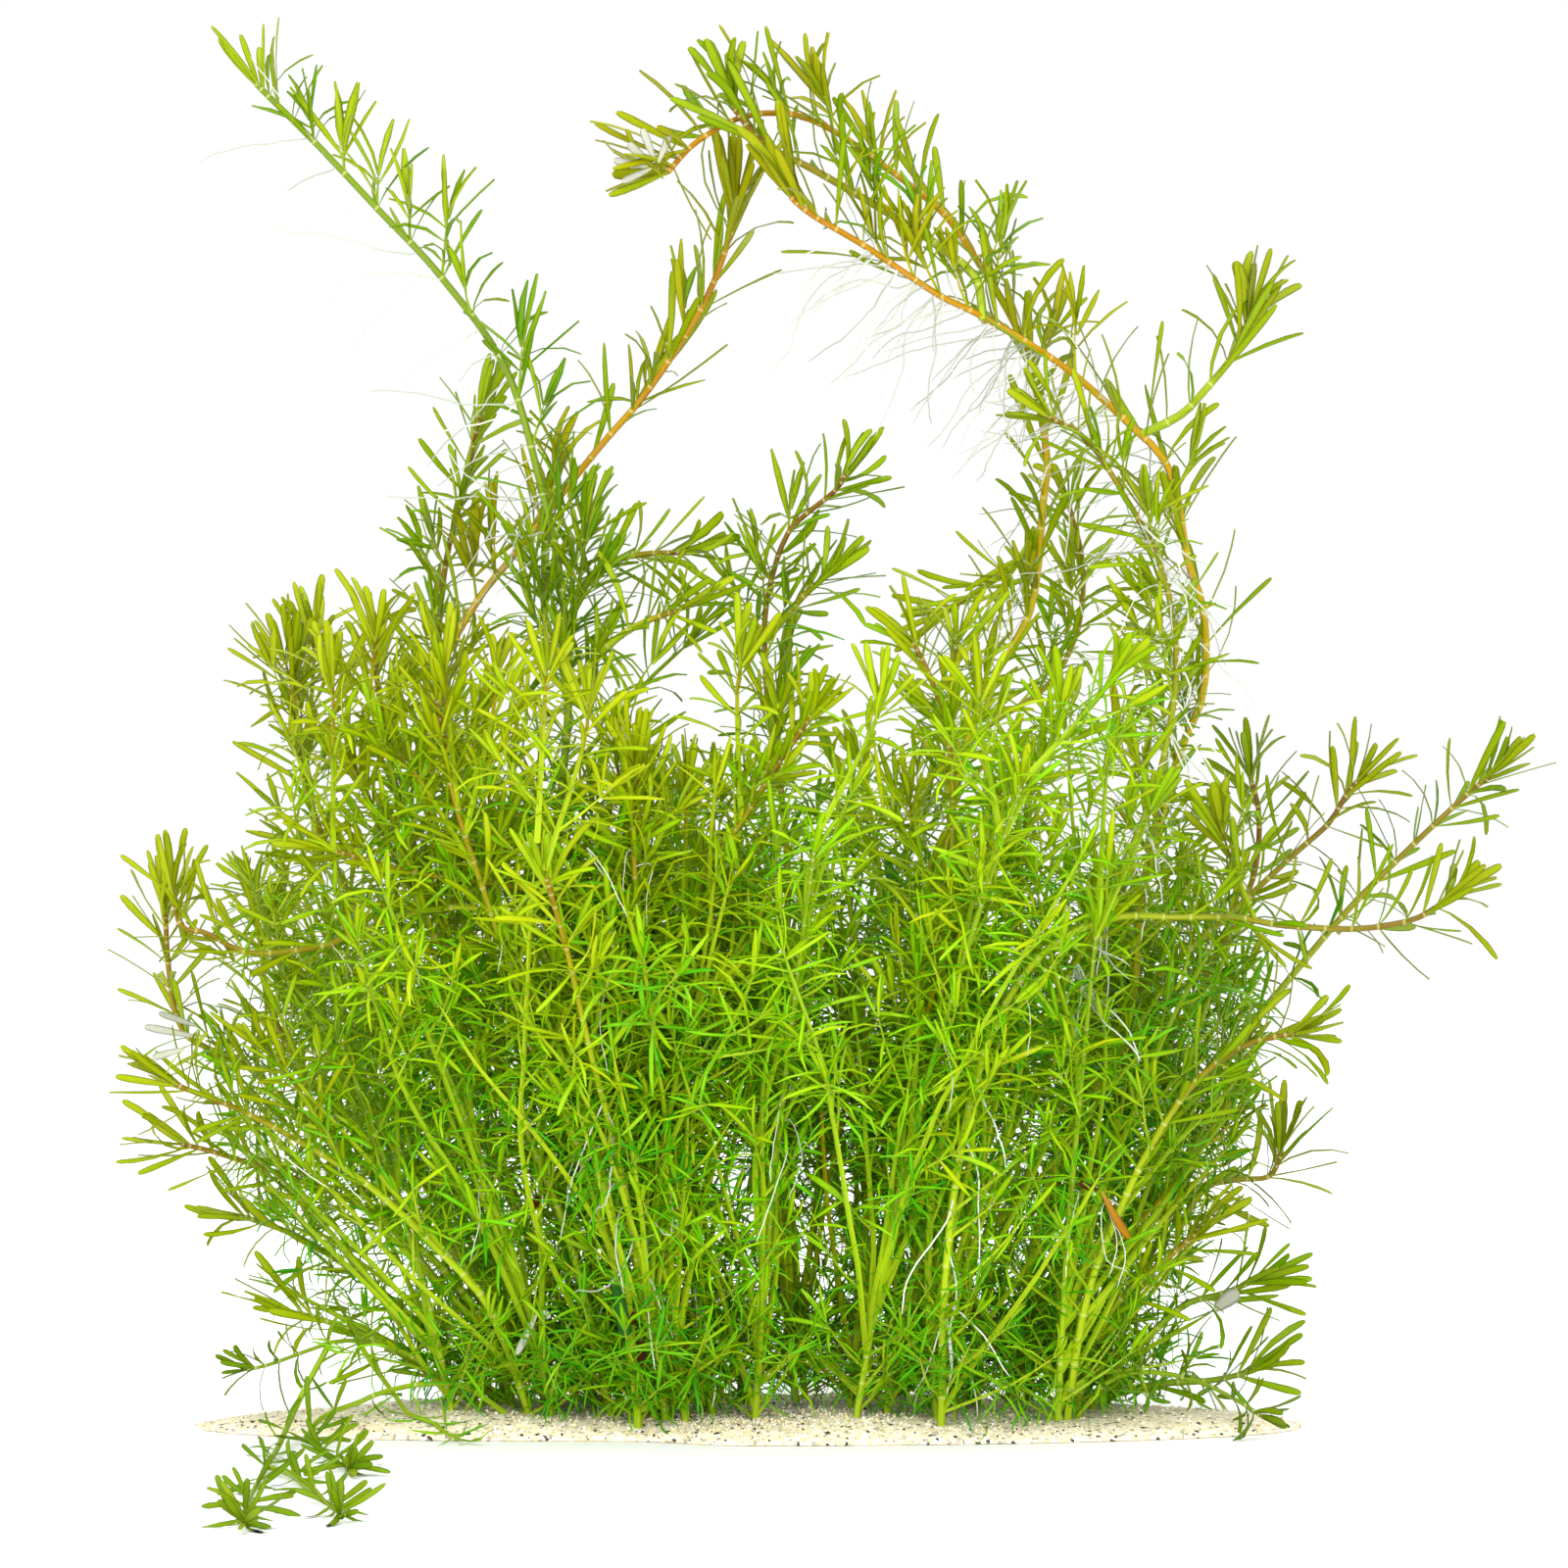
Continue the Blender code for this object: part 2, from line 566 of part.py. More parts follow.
def take_room(start, tip, taken, own):
    """Notes where a leaf lies, so that later ones keep clear of it."""
    points = np.array([start.lerp(tip, t) for t in ROOM_TAKEN_AT])
    taken["points"] = np.concatenate([taken["points"], points])
    taken["owner"] = np.concatenate([taken["owner"], np.full(len(points), own)])


def add_side(bm, corners):
    """Closes a side between two rings with two triangles, along the way that the rings turn."""
    low_a, low_b, high_b, high_a = corners
    bm.faces.new((low_a, low_b, high_a))
    bm.faces.new((low_b, high_b, high_a))


def add_leaf(bm, corners, tip):
    """Draws a side face of a node out to a leaf, a wedge that ends in a cross edge."""
    low_a, low_b, high_b, high_a = corners
    across = (low_b.co - low_a.co).normalized() * (LEAF_WIDTH / 2)
    end_a = bm.verts.new(above_ground(tip - across))
    end_b = bm.verts.new(above_ground(tip + across))
    bm.faces.new((low_a, low_b, end_b, end_a))
    bm.faces.new((high_b, high_a, end_a, end_b))
    bm.faces.new((low_b, high_b, end_b))
    bm.faces.new((high_a, low_a, end_a))


def grow_leaf(bm, stem, s, face, own, taken):
    """Grows one leaf from a node's side face if there is room, and says whether it did."""
    along = stem.direction(s)
    centre = sum((v.co for v in face), Vector()) / 4
    out = centre - stem.point(s)
    out = (out - along * out.dot(along)).normalized()
    share = s / stem.length
    length = LOW_LEAF_LENGTH + (LEAF_LENGTH - LOW_LEAF_LENGTH) * min(1.0, LEAF_GROWTH * share)
    from_tip = stem.length - s
    lean = LEAF_LEAN
    if from_tip < CROWN_DROP / 2:
        lean = CROWN_LEAN
    elif from_tip < CROWN_DROP + NODE_HEIGHT:
        lean = (LEAF_LEAN + CROWN_LEAN) / 2
    free_tip = leaf_tip(centre, out, along, length, lean)
    tip = above_ground(free_tip)
    if tip.z - free_tip.z > MOST_RAISED or not has_room(centre, tip, taken, own):
        return False
    take_room(centre, tip, taken, own)
    add_leaf(bm, face, tip)
    return True


def stem_mesh(stem, own, taken, foot, on_sand):
    """One stem with its whorls of leaves and its bud, as one closed skin."""
    bm = bmesh.new()
    bare = max(BARE_SHARE * stem.length, LEAST_BARE) if on_sand else BARE_FORK
    whorls = whorl_places(stem, bare)
    half = NODE_HEIGHT / 2
    stations = [(s + side * half, i) for i, s in enumerate(whorls) for side in (-1, 1)]
    for s in stem.run[1:-1]:
        if s > foot + CORNER_ROOM and min(abs(s - at) for at in whorls) > CORNER_ROOM:
            nearest = sum(1 for at in whorls if at < s)
            stations.append((s, nearest))
    stations = sorted([(foot, 0), *stations])
    rings = []
    for s, step in stations:
        phase = step * math.pi / STEM_SIDES
        radius = FOOT_RADIUS if s == foot and on_sand else stem_radius(s / stem.length)
        rings.append(ring(bm, stem, s, phase, radius))
    bm.faces.new(rings[0])
    for (low_s, low_i), (high_s, high_i), low, high in zip(
            stations, stations[1:], rings, rings[1:]):
        is_node = low_i == high_i and abs(high_s - low_s - NODE_HEIGHT) < 1e-6
        for i in range(STEM_SIDES):
            j = (i + 1) % STEM_SIDES
            face = (low[i], low[j], high[j], high[i])
            if not is_node or not grow_leaf(bm, stem, (low_s + high_s) / 2, face, own, taken):
                add_side(bm, face)
    bud = bm.verts.new(stem.point(stem.length) + stem.direction(stem.length) * BUD_HEIGHT)
    bud.co.z = max(bud.co.z, LOWEST_LEAF)
    top = rings[-1]
    for i in range(STEM_SIDES):
        bm.faces.new((top[i], top[(i + 1) % STEM_SIDES], bud))
    return bm


def fork_gap(stem, carrier):
    """How far along a side shoot its own skin starts, to clear the stem that carries it."""
    for s in np.arange(0.0, stem.length / 2, GAP / 3):
        apart = np.linalg.norm(carrier - np.array(stem.point(s)), axis=1).min()
        if apart > 2 * STEM_RADIUS + GAP:
            return s
    raise ValueError("a side shoot never leaves its stem")


def seat_foot(bm, sand_tree):
    """Sets a stem's lowest ring just above the sand, each corner over its own spot."""
    lowest = sorted(bm.verts, key=lambda v: v.index)[:STEM_SIDES]
    for v in lowest:
        hit = sand_tree.ray_cast(Vector((v.co.x, v.co.y, 100.0)), Vector((0, 0, -1)))[0]
        v.co.z = hit.z + GAP


def stem_colour(name):
    """The colour group that a stem belongs to."""
    if any(word in name for word in BROWN_STEMS):
        return COLOURS["brown"]
    if any(word in name for word in ORANGE_STEMS):
        return COLOURS["orange"]
    if any(word in name for word in LIME_STEMS):
        return COLOURS["lime"]
    return COLOURS["green"]


def build():
    """Models the sand and every stem."""
    for old in list(bpy.data.objects):
        bpy.data.objects.remove(old, do_unlink=True)
    sand = sand_mesh()
    sand_tree = BVHTree.FromBMesh(sand)
    add_object("sand_bed", sand, COLOURS["sand"], 0.9)

    corners, drawn = place_all()
    owners = {name: i for i, name in enumerate(corners)}
    taken = {
        "points": np.concatenate(list(drawn.values())),
        "owner": np.concatenate([np.full(len(d), owners[n]) for n, d in drawn.items()]),
    }
    carriers = {name: row[0] for name, row in {**FORKED, **LYING}.items() if row[0]}
    for name, points in corners.items():
        stem = Stem(points)
        carrier = carriers.get(name)
        foot = fork_gap(stem, drawn[carrier]) if carrier else 0.0
        bm = stem_mesh(stem, owners[name], taken, foot, carrier is None)
        bm.verts.index_update()
        if carrier is None:
            seat_foot(bm, sand_tree)
        add_object(name, bm, stem_colour(name), 0.5)


build()
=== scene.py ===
"""The looks of a clump of dwarf rotala: leafy shoots, white water roots and a patch of sand.

Lengths are millimetres until a mesh is made, and meshes are in metres. X runs to the right,
Y away from the front view and Z up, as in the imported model.
"""

import json
import math
from collections import namedtuple

import bpy
import numpy as np
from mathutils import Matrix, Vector


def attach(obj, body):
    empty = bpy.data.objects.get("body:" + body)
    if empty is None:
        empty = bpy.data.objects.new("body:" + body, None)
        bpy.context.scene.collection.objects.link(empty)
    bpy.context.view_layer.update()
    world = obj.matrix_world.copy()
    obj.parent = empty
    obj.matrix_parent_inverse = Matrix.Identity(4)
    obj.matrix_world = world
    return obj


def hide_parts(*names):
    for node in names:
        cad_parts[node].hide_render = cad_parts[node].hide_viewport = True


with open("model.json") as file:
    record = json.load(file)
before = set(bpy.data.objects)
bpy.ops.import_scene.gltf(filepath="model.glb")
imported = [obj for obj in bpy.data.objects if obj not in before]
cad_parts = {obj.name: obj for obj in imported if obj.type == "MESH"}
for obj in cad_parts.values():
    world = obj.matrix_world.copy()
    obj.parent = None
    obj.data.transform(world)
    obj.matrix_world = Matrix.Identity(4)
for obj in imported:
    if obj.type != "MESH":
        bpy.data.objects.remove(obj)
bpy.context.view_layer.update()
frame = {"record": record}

MM = 0.001
UP = np.array([0.0, 0.0, 1.0])
FRONT = np.array([0.0, -1.0, 0.0])
TURN = 2 * math.pi

# The front view: stems are laid out as they show from here, then each point is moved along
# its line of sight to its own depth.
EYE_X = 9.0
EYE_Z = 164.0
EYE_DISTANCE = 1400.0
VIEW_WIDTH = 400.0
SENSOR_WIDTH = 36.0

# The sand patch
SAND_HALF_LENGTH = 141.0
SAND_FRONT = 40.0
SAND_BACK = 47.0
SAND_HEIGHT = 5.0
SAND_RIM = 0.6
SAND_EVENNESS = 5.0
SAND_ROUNDNESS = 0.8
SAND_SWELL = 0.5
SWELL_SPREAD = 17.0
SAND_RIPPLE = 0.4
RIPPLE_SPREAD = (7.0, 11.0)
LEFT_TAPER = 0.2
LEAST_SAND = 1.5
ABOVE_SAND = 2.2

# How the stems are laid out
STEM_CLEARANCE = 3.3
DEPTH_STEP = 2.2
MOST_SHIFTS = 60
ROUTE_STEP = 2.0
ROUTE_TOLERANCE = 0.9
CURVE_STEPS = 12
FEWEST_STEPS = 8
FORK_FREE = 9.0
FORK_EASE = 3.0
NARROW_SHIFT = 0.6

# Rooted stems: depth of foot, middle and tip, then the points from foot to tip as (x, z) in
# the front view.
ROOTED = {
    "long_left_stem": ((4, -6, 14), [
        (0, 4), (-8, 28), (-18, 45), (-28, 62), (-35, 79), (-43, 98), (-50, 114), (-52, 130),
        (-50, 147), (-47, 170), (-46, 190), (-48, 216), (-53, 240), (-62, 270), (-79, 294),
        (-94, 310), (-110, 327), (-125, 342), (-132, 350)]),
    "high_arch_stem": ((-6, 22, -12), [
        (26, 4), (30, 53), (34, 67), (39, 83), (46, 99), (48, 114), (51, 150), (55, 172),
        (62, 190), (72, 209), (75, 235), (76, 248), (72, 270), (67, 283), (54, 304), (47, 312),
        (34, 322), (21, 331), (10, 335), (-2, 334), (-13, 328), (-19, 322), (-23, 317)]),
    "orange_arch_stem": ((12, 4, -22), [
        (68, 4), (71, 37), (75, 56), (81, 74), (91, 92), (98, 110), (100, 134), (104, 152),
        (110, 172), (116, 188), (116, 208), (112, 221), (109, 239), (105, 248), (99, 254),
        (81, 270), (60, 283), (48, 289), (30, 301), (15, 310), (8, 317)]),
    "left_arch_stem": ((16, 34, 20), [
        (-25, 4), (-31, 32), (-44, 64), (-56, 94), (-69, 122), (-79, 147), (-81, 172),
        (-78, 194), (-69, 211), (-61, 221), (-50, 235), (-38, 250), (-26, 264), (-14, 282),
        (-7, 297), (-3, 314), (-4, 323)]),
    "pale_inner_stem": ((-16, -24, -30), [
        (35, 4), (38, 22), (46, 51), (56, 75), (74, 102), (86, 124), (96, 144), (104, 164),
        (108, 182), (109, 199), (105, 220), (95, 239), (86, 252), (78, 257), (68, 264)]),
    "bent_inner_stem": ((22, 40, 48), [
        (38, 4), (30, 32), (24, 54), (21, 77), (24, 100), (30, 122), (38, 142), (48, 162),
        (59, 177), (75, 188), (82, 198), (85, 209), (85, 222), (82, 234), (79, 246)]),
    "left_brown_stem": ((24, 46, 40), [
        (-29, 4), (-31, 30), (-40, 57), (-51, 94), (-64, 132), (-72, 160), (-78, 184),
        (-79, 204), (-77, 222), (-74, 234), (-71, 247), (-66, 268)]),
    "tall_brown_stem": ((8, 18, 4), [
        (12, 4), (10, 27), (8, 52), (7, 84), (9, 114), (10, 140), (8, 164), (5, 184), (4, 204),
        (6, 217), (10, 228), (16, 234), (23, 240), (29, 252)]),
    "mid_right_stem": ((-20, -30, -34), [
        (48, 4), (46, 27), (46, 52), (48, 84), (49, 110), (51, 130), (52, 150), (52, 164),
        (50, 180), (46, 192), (41, 202), (38, 210)]),
    "lime_mid_stem": ((-12, -26, -38), [
        (-9, 4), (-12, 24), (-16, 50), (-18, 77), (-19, 102), (-17, 124), (-11, 142),
        (-2, 154), (6, 167), (16, 182), (18, 192)]),
    "star_tip_stem": ((-22, -48, -88), [
        (-21, 4), (-28, 40), (-33, 67), (-40, 94), (-46, 120), (-51, 138), (-54, 149)]),
    "lime_left_stem": ((-24, -34, -44), [
        (-16, 4), (-19, 30), (-23, 60), (-26, 90), (-28, 114), (-29, 140), (-30, 157),
        (-31, 172)]),
    "left_upright_a": ((10, 18, 10), [
        (-39, 4), (-46, 27), (-59, 54), (-72, 82), (-88, 110), (-100, 132), (-110, 154),
        (-115, 174), (-116, 192), (-113, 204)]),
    "left_upright_b": ((-2, -8, -22), [
        (-32, 4), (-38, 24), (-48, 52), (-62, 87), (-76, 120), (-86, 150), (-92, 172),
        (-95, 192), (-97, 206)]),
    "left_upright_c": ((-26, -40, -52), [
        (-28, 4), (-32, 32), (-42, 67), (-55, 102), (-66, 132), (-75, 160), (-79, 182),
        (-81, 196)]),
    "left_upright_d": ((-14, -24, -34), [
        (-35, 4), (-44, 42), (-55, 72), (-69, 102), (-81, 127), (-91, 147), (-99, 164),
        (-105, 179)]),
    "left_curved_a": ((20, 46, 62), [
        (-50, 4), (-61, 30), (-79, 52), (-96, 70), (-111, 87), (-120, 102), (-123, 110),
        (-124, 122), (-122, 133)]),
    "left_curved_b": ((28, 58, 78), [
        (-44, 4), (-49, 20), (-61, 37), (-76, 57), (-91, 74), (-102, 90), (-108, 104),
        (-108, 116), (-106, 128)]),
    "left_flat_a": ((-8, -34, -20), [
        (-22, 4), (-25, 30), (-30, 57), (-38, 87), (-46, 110), (-56, 124), (-69, 132),
        (-80, 132), (-90, 130), (-102, 125), (-112, 122), (-128, 121), (-138, 126),
        (-145, 128), (-147, 141)]),
    "left_flat_b": ((0, -20, -44), [
        (-10, 4), (-11, 24), (-13, 50), (-16, 80), (-21, 104), (-30, 123), (-44, 134),
        (-61, 138), (-84, 141), (-96, 144), (-110, 148)]),
    "left_arched_a": ((6, 10, 22), [
        (-51, 4), (-66, 34), (-85, 54), (-102, 70), (-115, 80), (-128, 92), (-137, 96),
        (-145, 102), (-148, 117), (-149, 136)]),
    "left_arched_b": ((-12, -30, -40), [
        (-56, 4), (-66, 30), (-80, 46), (-95, 60), (-108, 69), (-128, 80), (-143, 86),
        (-151, 90)]),
    "left_arched_c": ((2, -8, -16), [
        (-60, 4), (-65, 22), (-75, 37), (-88, 49), (-102, 58), (-115, 63), (-136, 70),
        (-149, 73)]),
    "left_low_a": ((14, 26, 34), [
        (-64, 4), (-71, 14), (-86, 28), (-101, 40), (-116, 49), (-130, 54), (-138, 57)]),
    "left_low_b": ((4, 2, 6), [
        (-69, 4), (-79, 12), (-91, 20), (-105, 26), (-116, 29), (-126, 28)]),
    "right_upright_stem": ((26, 54, 66), [
        (71, 4), (76, 32), (86, 60), (99, 84), (111, 104), (121, 123), (128, 138), (130, 148),
        (130, 158), (128, 166), (128, 176)]),
    "right_slant_a": ((-4, 8, 16), [
        (58, 4), (61, 37), (71, 64), (82, 87), (96, 107), (109, 119), (124, 132), (139, 146),
        (148, 154), (153, 162), (162, 172)]),
    "right_slant_b": ((6, 20, 30), [
        (79, 4), (84, 34), (94, 56), (106, 76), (119, 92), (136, 112), (153, 132), (170, 149),
        (184, 162), (190, 167), (195, 175)]),
    "right_flat_stem": ((-28, -44, -30), [
        (49, 4), (50, 34), (53, 64), (59, 92), (68, 112), (79, 124), (94, 130), (109, 130),
        (124, 130), (136, 128), (153, 127), (163, 128), (171, 130), (179, 135), (188, 140)]),
    "right_mid_a": ((-16, -36, -48), [
        (81, 4), (86, 32), (94, 54), (104, 74), (114, 88), (126, 97), (138, 100), (150, 101)]),
    "right_mid_b": ((16, 30, 40), [
        (82, 4), (86, 22), (92, 37), (102, 51), (112, 60), (124, 63), (133, 64), (136, 71),
        (140, 80)]),
    "right_mid_c": ((-6, -14, -24), [
        (83, 4), (88, 21), (96, 34), (108, 44), (118, 53), (124, 56)]),
    "right_low_a": ((2, 4, 2), [
        (87, 4), (92, 13), (101, 22), (111, 31), (121, 34), (131, 38), (139, 40)]),
    "right_low_b": ((10, 14, 18), [
        (86, 4), (92, 8), (105, 11), (119, 12), (130, 15), (138, 20)]),
}

# Side shoots: the stem that carries each, its depth beyond that stem's at the middle and the
# tip, then the points from fork to tip.
FORKED = {
    "brown_arch_branch": ("orange_arch_stem", (6, 2), [
        (60, 284), (58, 293), (50, 300), (43, 305), (30, 313), (16, 321), (3, 328), (-6, 340)]),
    "right_top_branch": ("orange_arch_stem", (8, 18), [
        (100, 254), (110, 258), (116, 264), (124, 274), (129, 286), (133, 290)]),
    "tall_brown_branch": ("tall_brown_stem", (-8, -16), [
        (4, 201), (14, 212), (21, 218), (27, 224)]),
    "flat_brown_branch": ("long_left_stem", (8, 16), [
        (-47, 204), (-40, 217), (-31, 222), (-16, 223), (-6, 222)]),
    "flat_green_branch": ("long_left_stem", (-6, -14), [
        (-46, 184), (-41, 194), (-31, 203), (-19, 208), (-8, 210)]),
    "looped_branch": ("high_arch_stem", (12, 24), [
        (74, 228), (68, 220), (61, 215), (55, 211), (46, 206), (42, 204)]),
}

# Low shoots that lie over the sand and on the surface in front of it: the stem that carries
# each or None, then the points as (x, z, height above the surface).
LYING = {
    "right_low_c": (None, [
        (82, 4, 5.5), (91, 12, 13.6), (101, 14, 15.9), (112, 12, 14.2), (121, 8, 10.5),
        (129, 3, 5.8), (134, -2, 2.0)]),
    "trailing_stem_a": (None, [
        (-68, 6, 6.4), (-78, 12, 12.8), (-86, 18, 19.0), (-94, 21, 22.2), (-104, 22, 23.4),
        (-111, 20, 21.5), (-122, 16, 17.4), (-130, 14, 15.4), (-138, 11, 12.4)]),
    "trailing_stem_b": (None, [
        (-62, 5, 6.8), (-72, 10, 11.6), (-82, 11, 12.9), (-93, 9, 11.1), (-100, 6, 8.4),
        (-108, 3, 6.1), (-112, -2, 2.4), (-108, -7, 1.5), (-103, -10, 1.5), (-100, -12, 1.5)]),
    "trailing_branch_a": ("trailing_stem_a", [
        (-108, 21, 22.6), (-112, 12, 14.2), (-116, 4, 6.9), (-120, -5, 1.8), (-124, -12, 1.5),
        (-128, -20, 1.5), (-129, -26, 1.6)]),
    "trailing_branch_b": ("trailing_branch_a", [
        (-123, -10, 1.5), (-119, -12.5, 1.5), (-114, -17, 1.5), (-108, -21, 1.5),
        (-106, -24, 1.5)]),
}

# Stems of the inner clump, by rule: they fan out from the sand
INNER_COUNT = 14
INNER_FOOT_X = (-82, 98)
INNER_FOOT_Z = 4
INNER_TIP_X = (-108, 122)
INNER_TIP_Z = (108, 176)
INNER_FOOT_DEPTH = 26
INNER_TIP_DEPTH = 84
INNER_SPREAD = 0.4
INNER_LEAST_FOOT = 0.4
INNER_LEAST_REACH = 0.45
INNER_BENDS = ((0.25, 0.36), (0.62, 0.7))
GOLDEN = 0.618034


def between(pair, share):
    """The value this share of the way from the first of a pair to the second."""
    return pair[0] + (pair[1] - pair[0]) * share


def unit(rows):
    """The rows scaled to length one."""
    return rows / np.linalg.norm(rows, axis=-1, keepdims=True)


def turned(first, second, angle):
    """Two directions, or two coordinates, turned by an angle in their plane."""
    cosine, sine = np.cos(angle), np.sin(angle)
    return first * cosine + second * sine, second * cosine - first * sine


def sand_reach(angle):
    """How far the sand runs from the origin in a direction. Its left end is drawn out."""
    across, along = np.cos(angle), np.sin(angle)
    deep = np.where(along > 0, SAND_BACK, SAND_FRONT)
    reach = 1.0 / np.hypot(across / SAND_HALF_LENGTH, along / deep)
    return np.where(across < 0, reach * (1.0 - LEFT_TAPER * np.sin(2 * angle) ** 2), reach)


def sand_height(x, y):
    """The height of the sand's top, or 0 beyond its edge."""
    out = np.minimum(np.hypot(x, y) / sand_reach(np.arctan2(y, x)), 1.0)
    ripple = SAND_RIPPLE * np.sin(x / RIPPLE_SPREAD[0] + y / RIPPLE_SPREAD[1])
    uneven = SAND_SWELL * np.sin(x / SWELL_SPREAD) + ripple
    shape = (1.0 - out**SAND_EVENNESS) ** SAND_ROUNDNESS
    return np.where(out >= 1.0, 0.0, SAND_RIM + (SAND_HEIGHT - SAND_RIM + uneven) * shape)


def line_of_sight(x, z, depth):
    """The point that shows at (x, z) from the front and lies this far behind the origin."""
    scale = (EYE_DISTANCE + depth) / EYE_DISTANCE
    return np.array([EYE_X + (x - EYE_X) * scale, depth, EYE_Z + (z - EYE_Z) * scale])


def as_seen(points):
    """Where points show from the front, as rows of (x, z)."""
    scale = EYE_DISTANCE / (EYE_DISTANCE + points[:, 1])
    return np.stack([EYE_X + (points[:, 0] - EYE_X) * scale,
                     EYE_Z + (points[:, 2] - EYE_Z) * scale], axis=1)


def lying_depth(z, height):
    """How deep a point at this height is, if it shows at z from the front."""
    return EYE_DISTANCE * ((EYE_Z - height) / (EYE_Z - z) - 1.0)


def three_depths(depths, along):
    """Runs smoothly through a foot, a middle and a tip value."""
    foot, middle, tip = depths
    curve = 2 * foot - 4 * middle + 2 * tip
    return foot + along * (tip - foot - curve) + curve * along**2


def run_along(points):
    """How far along a run of points each one lies."""
    steps = np.linalg.norm(np.diff(points, axis=0), axis=1)
    return np.concatenate([[0.0], np.cumsum(steps)])


def shares_along(points):
    """How far along the run each point lies, from 0 to 1."""
    run = run_along(points)
    return run / run[-1]


def at_lengths(rows, run, lengths):
    """Rows of three values, read at these lengths along the run."""
    return np.stack([np.interp(lengths, run, rows[:, k]) for k in range(3)], axis=-1)


def in_even_steps(points, fewest, extra):
    """A run of points read about a route step apart."""
    run = run_along(points)
    count = max(fewest, int(run[-1] / ROUTE_STEP) + extra)
    return at_lengths(np.array(points), run, np.linspace(0.0, run[-1], count))


def smooth_route(points):
    """A smooth curve through the points, in even steps."""
    ends = [2 * points[0] - points[1], *points, 2 * points[-1] - points[-2]]
    fine = []
    for a, b, c, d in zip(ends, ends[1:], ends[2:], ends[3:]):
        for t in np.linspace(0.0, 1.0, CURVE_STEPS, endpoint=False):
            fine.append(0.5 * ((2 * b) + (c - a) * t + (2 * a - 5 * b + 4 * c - d) * t**2
                               + (3 * b - a - 3 * c + d) * t**3))
    return in_even_steps([*fine, points[-1]], FEWEST_STEPS, 0)


def nearest(points, aim):
    """The place in the list of the point closest to aim."""
    return int(np.argmin(np.linalg.norm(points - aim, axis=1)))


def rooted_route(depths, seen, shift):
    """A stem from its foot on the sand, with its whole length moved shift deeper."""
    points = np.array([line_of_sight(x, z, three_depths(depths, share) + shift)
                       for share, (x, z) in zip(shares_along(seen), seen)])
    ground = sand_height(points[:, 0], points[:, 1])
    points[1:, 2] = np.maximum(points[1:, 2], ground[1:] + ABOVE_SAND)
    points[0, 2] = ground[0]
    return smooth_route(points)


def forked_route(parent, depths, seen, shift):
    """A side shoot from the nearest point of the stem that carries it."""
    fork = parent[nearest(as_seen(parent), seen[0])]
    points = [fork]
    for share, (x, z) in list(zip(shares_along(seen), seen))[1:]:
        depth = fork[1] + three_depths((0, *depths), share) + shift * min(1.0, FORK_EASE * share)
        points.append(line_of_sight(x, z, depth))
    return smooth_route(points)


def lying_route(parent, seen, shift):
    """A low shoot whose depth follows from its height above the surface."""
    points = [line_of_sight(x + NARROW_SHIFT * shift, z, lying_depth(z, height))
              for x, z, height in seen]
    if parent is None:
        points[0][2] = sand_height(points[0][0], points[0][1])
    else:
        points[0] = parent[nearest(parent, points[0])]
    return smooth_route(points)


def inner_stems():
    """The inner clump's stems: feet spread over the sand, tips fanned out in every depth."""
    stems = {}
    for i in range(INNER_COUNT):
        across = (i + 0.5) / INNER_COUNT
        mixed = (i * GOLDEN) % 1.0
        side = 1 if i % 2 else -1
        foot = between(INNER_FOOT_X, across)
        fan = min(1.0, max(0.0, across + INNER_SPREAD * (mixed - 0.5)))
        tip = between(INNER_TIP_X, fan)
        top = between(INNER_TIP_Z, mixed)
        reach = side * INNER_TIP_DEPTH * between((INNER_LEAST_REACH, 1), mixed)
        foot_depth = side * INNER_FOOT_DEPTH * between((INNER_LEAST_FOOT, 1), mixed)
        bends = [(foot + out * (tip - foot), up * top) for out, up in INNER_BENDS]
        seen = [(foot, INNER_FOOT_Z), *bends, (tip, top)]
        stems[f"inner_stem_{i + 1:02d}"] = ((foot_depth, 0.5 * reach, reach), seen)
    return stems


def thin_out(points, tolerance):
    """Keeps the points that the route needs to stay within the tolerance."""
    start, end = points[0], points[-1]
    line = (end - start) / np.linalg.norm(end - start)
    offset = points - start
    away = np.linalg.norm(offset - np.outer(offset @ line, line), axis=1)
    furthest = int(np.argmax(away))
    if away[furthest] < tolerance:
        return [start, end]
    first = thin_out(points[:furthest + 1], tolerance)
    return first[:-1] + thin_out(points[furthest:], tolerance)


def stands_clear(drawn, placed, fork):
    """Whether a stem keeps its clearance from those in place. Near its fork it may touch."""
    if fork is not None:
        drawn = drawn[np.linalg.norm(drawn - fork, axis=1) > FORK_FREE]
    return all(np.linalg.norm(drawn[:, None] - other[None], axis=2).min() >= STEM_CLEARANCE
               for other in placed)


def place_stem(route_at, placed, forked):
    """Tries the stem at ever larger shifts in depth until it stands clear."""
    for attempt in range(MOST_SHIFTS):
        shift = (attempt + 1) // 2 * DEPTH_STEP * (1 if attempt % 2 else -1)
        route = route_at(shift)
        if not forked and sand_height(route[0][0], route[0][1]) < LEAST_SAND:
            continue
        drawn = in_even_steps(thin_out(route, ROUTE_TOLERANCE), 2, 1)
        if stands_clear(drawn, placed, route[0] if forked else None):
            return route, drawn
    raise ValueError("a stem finds no room")


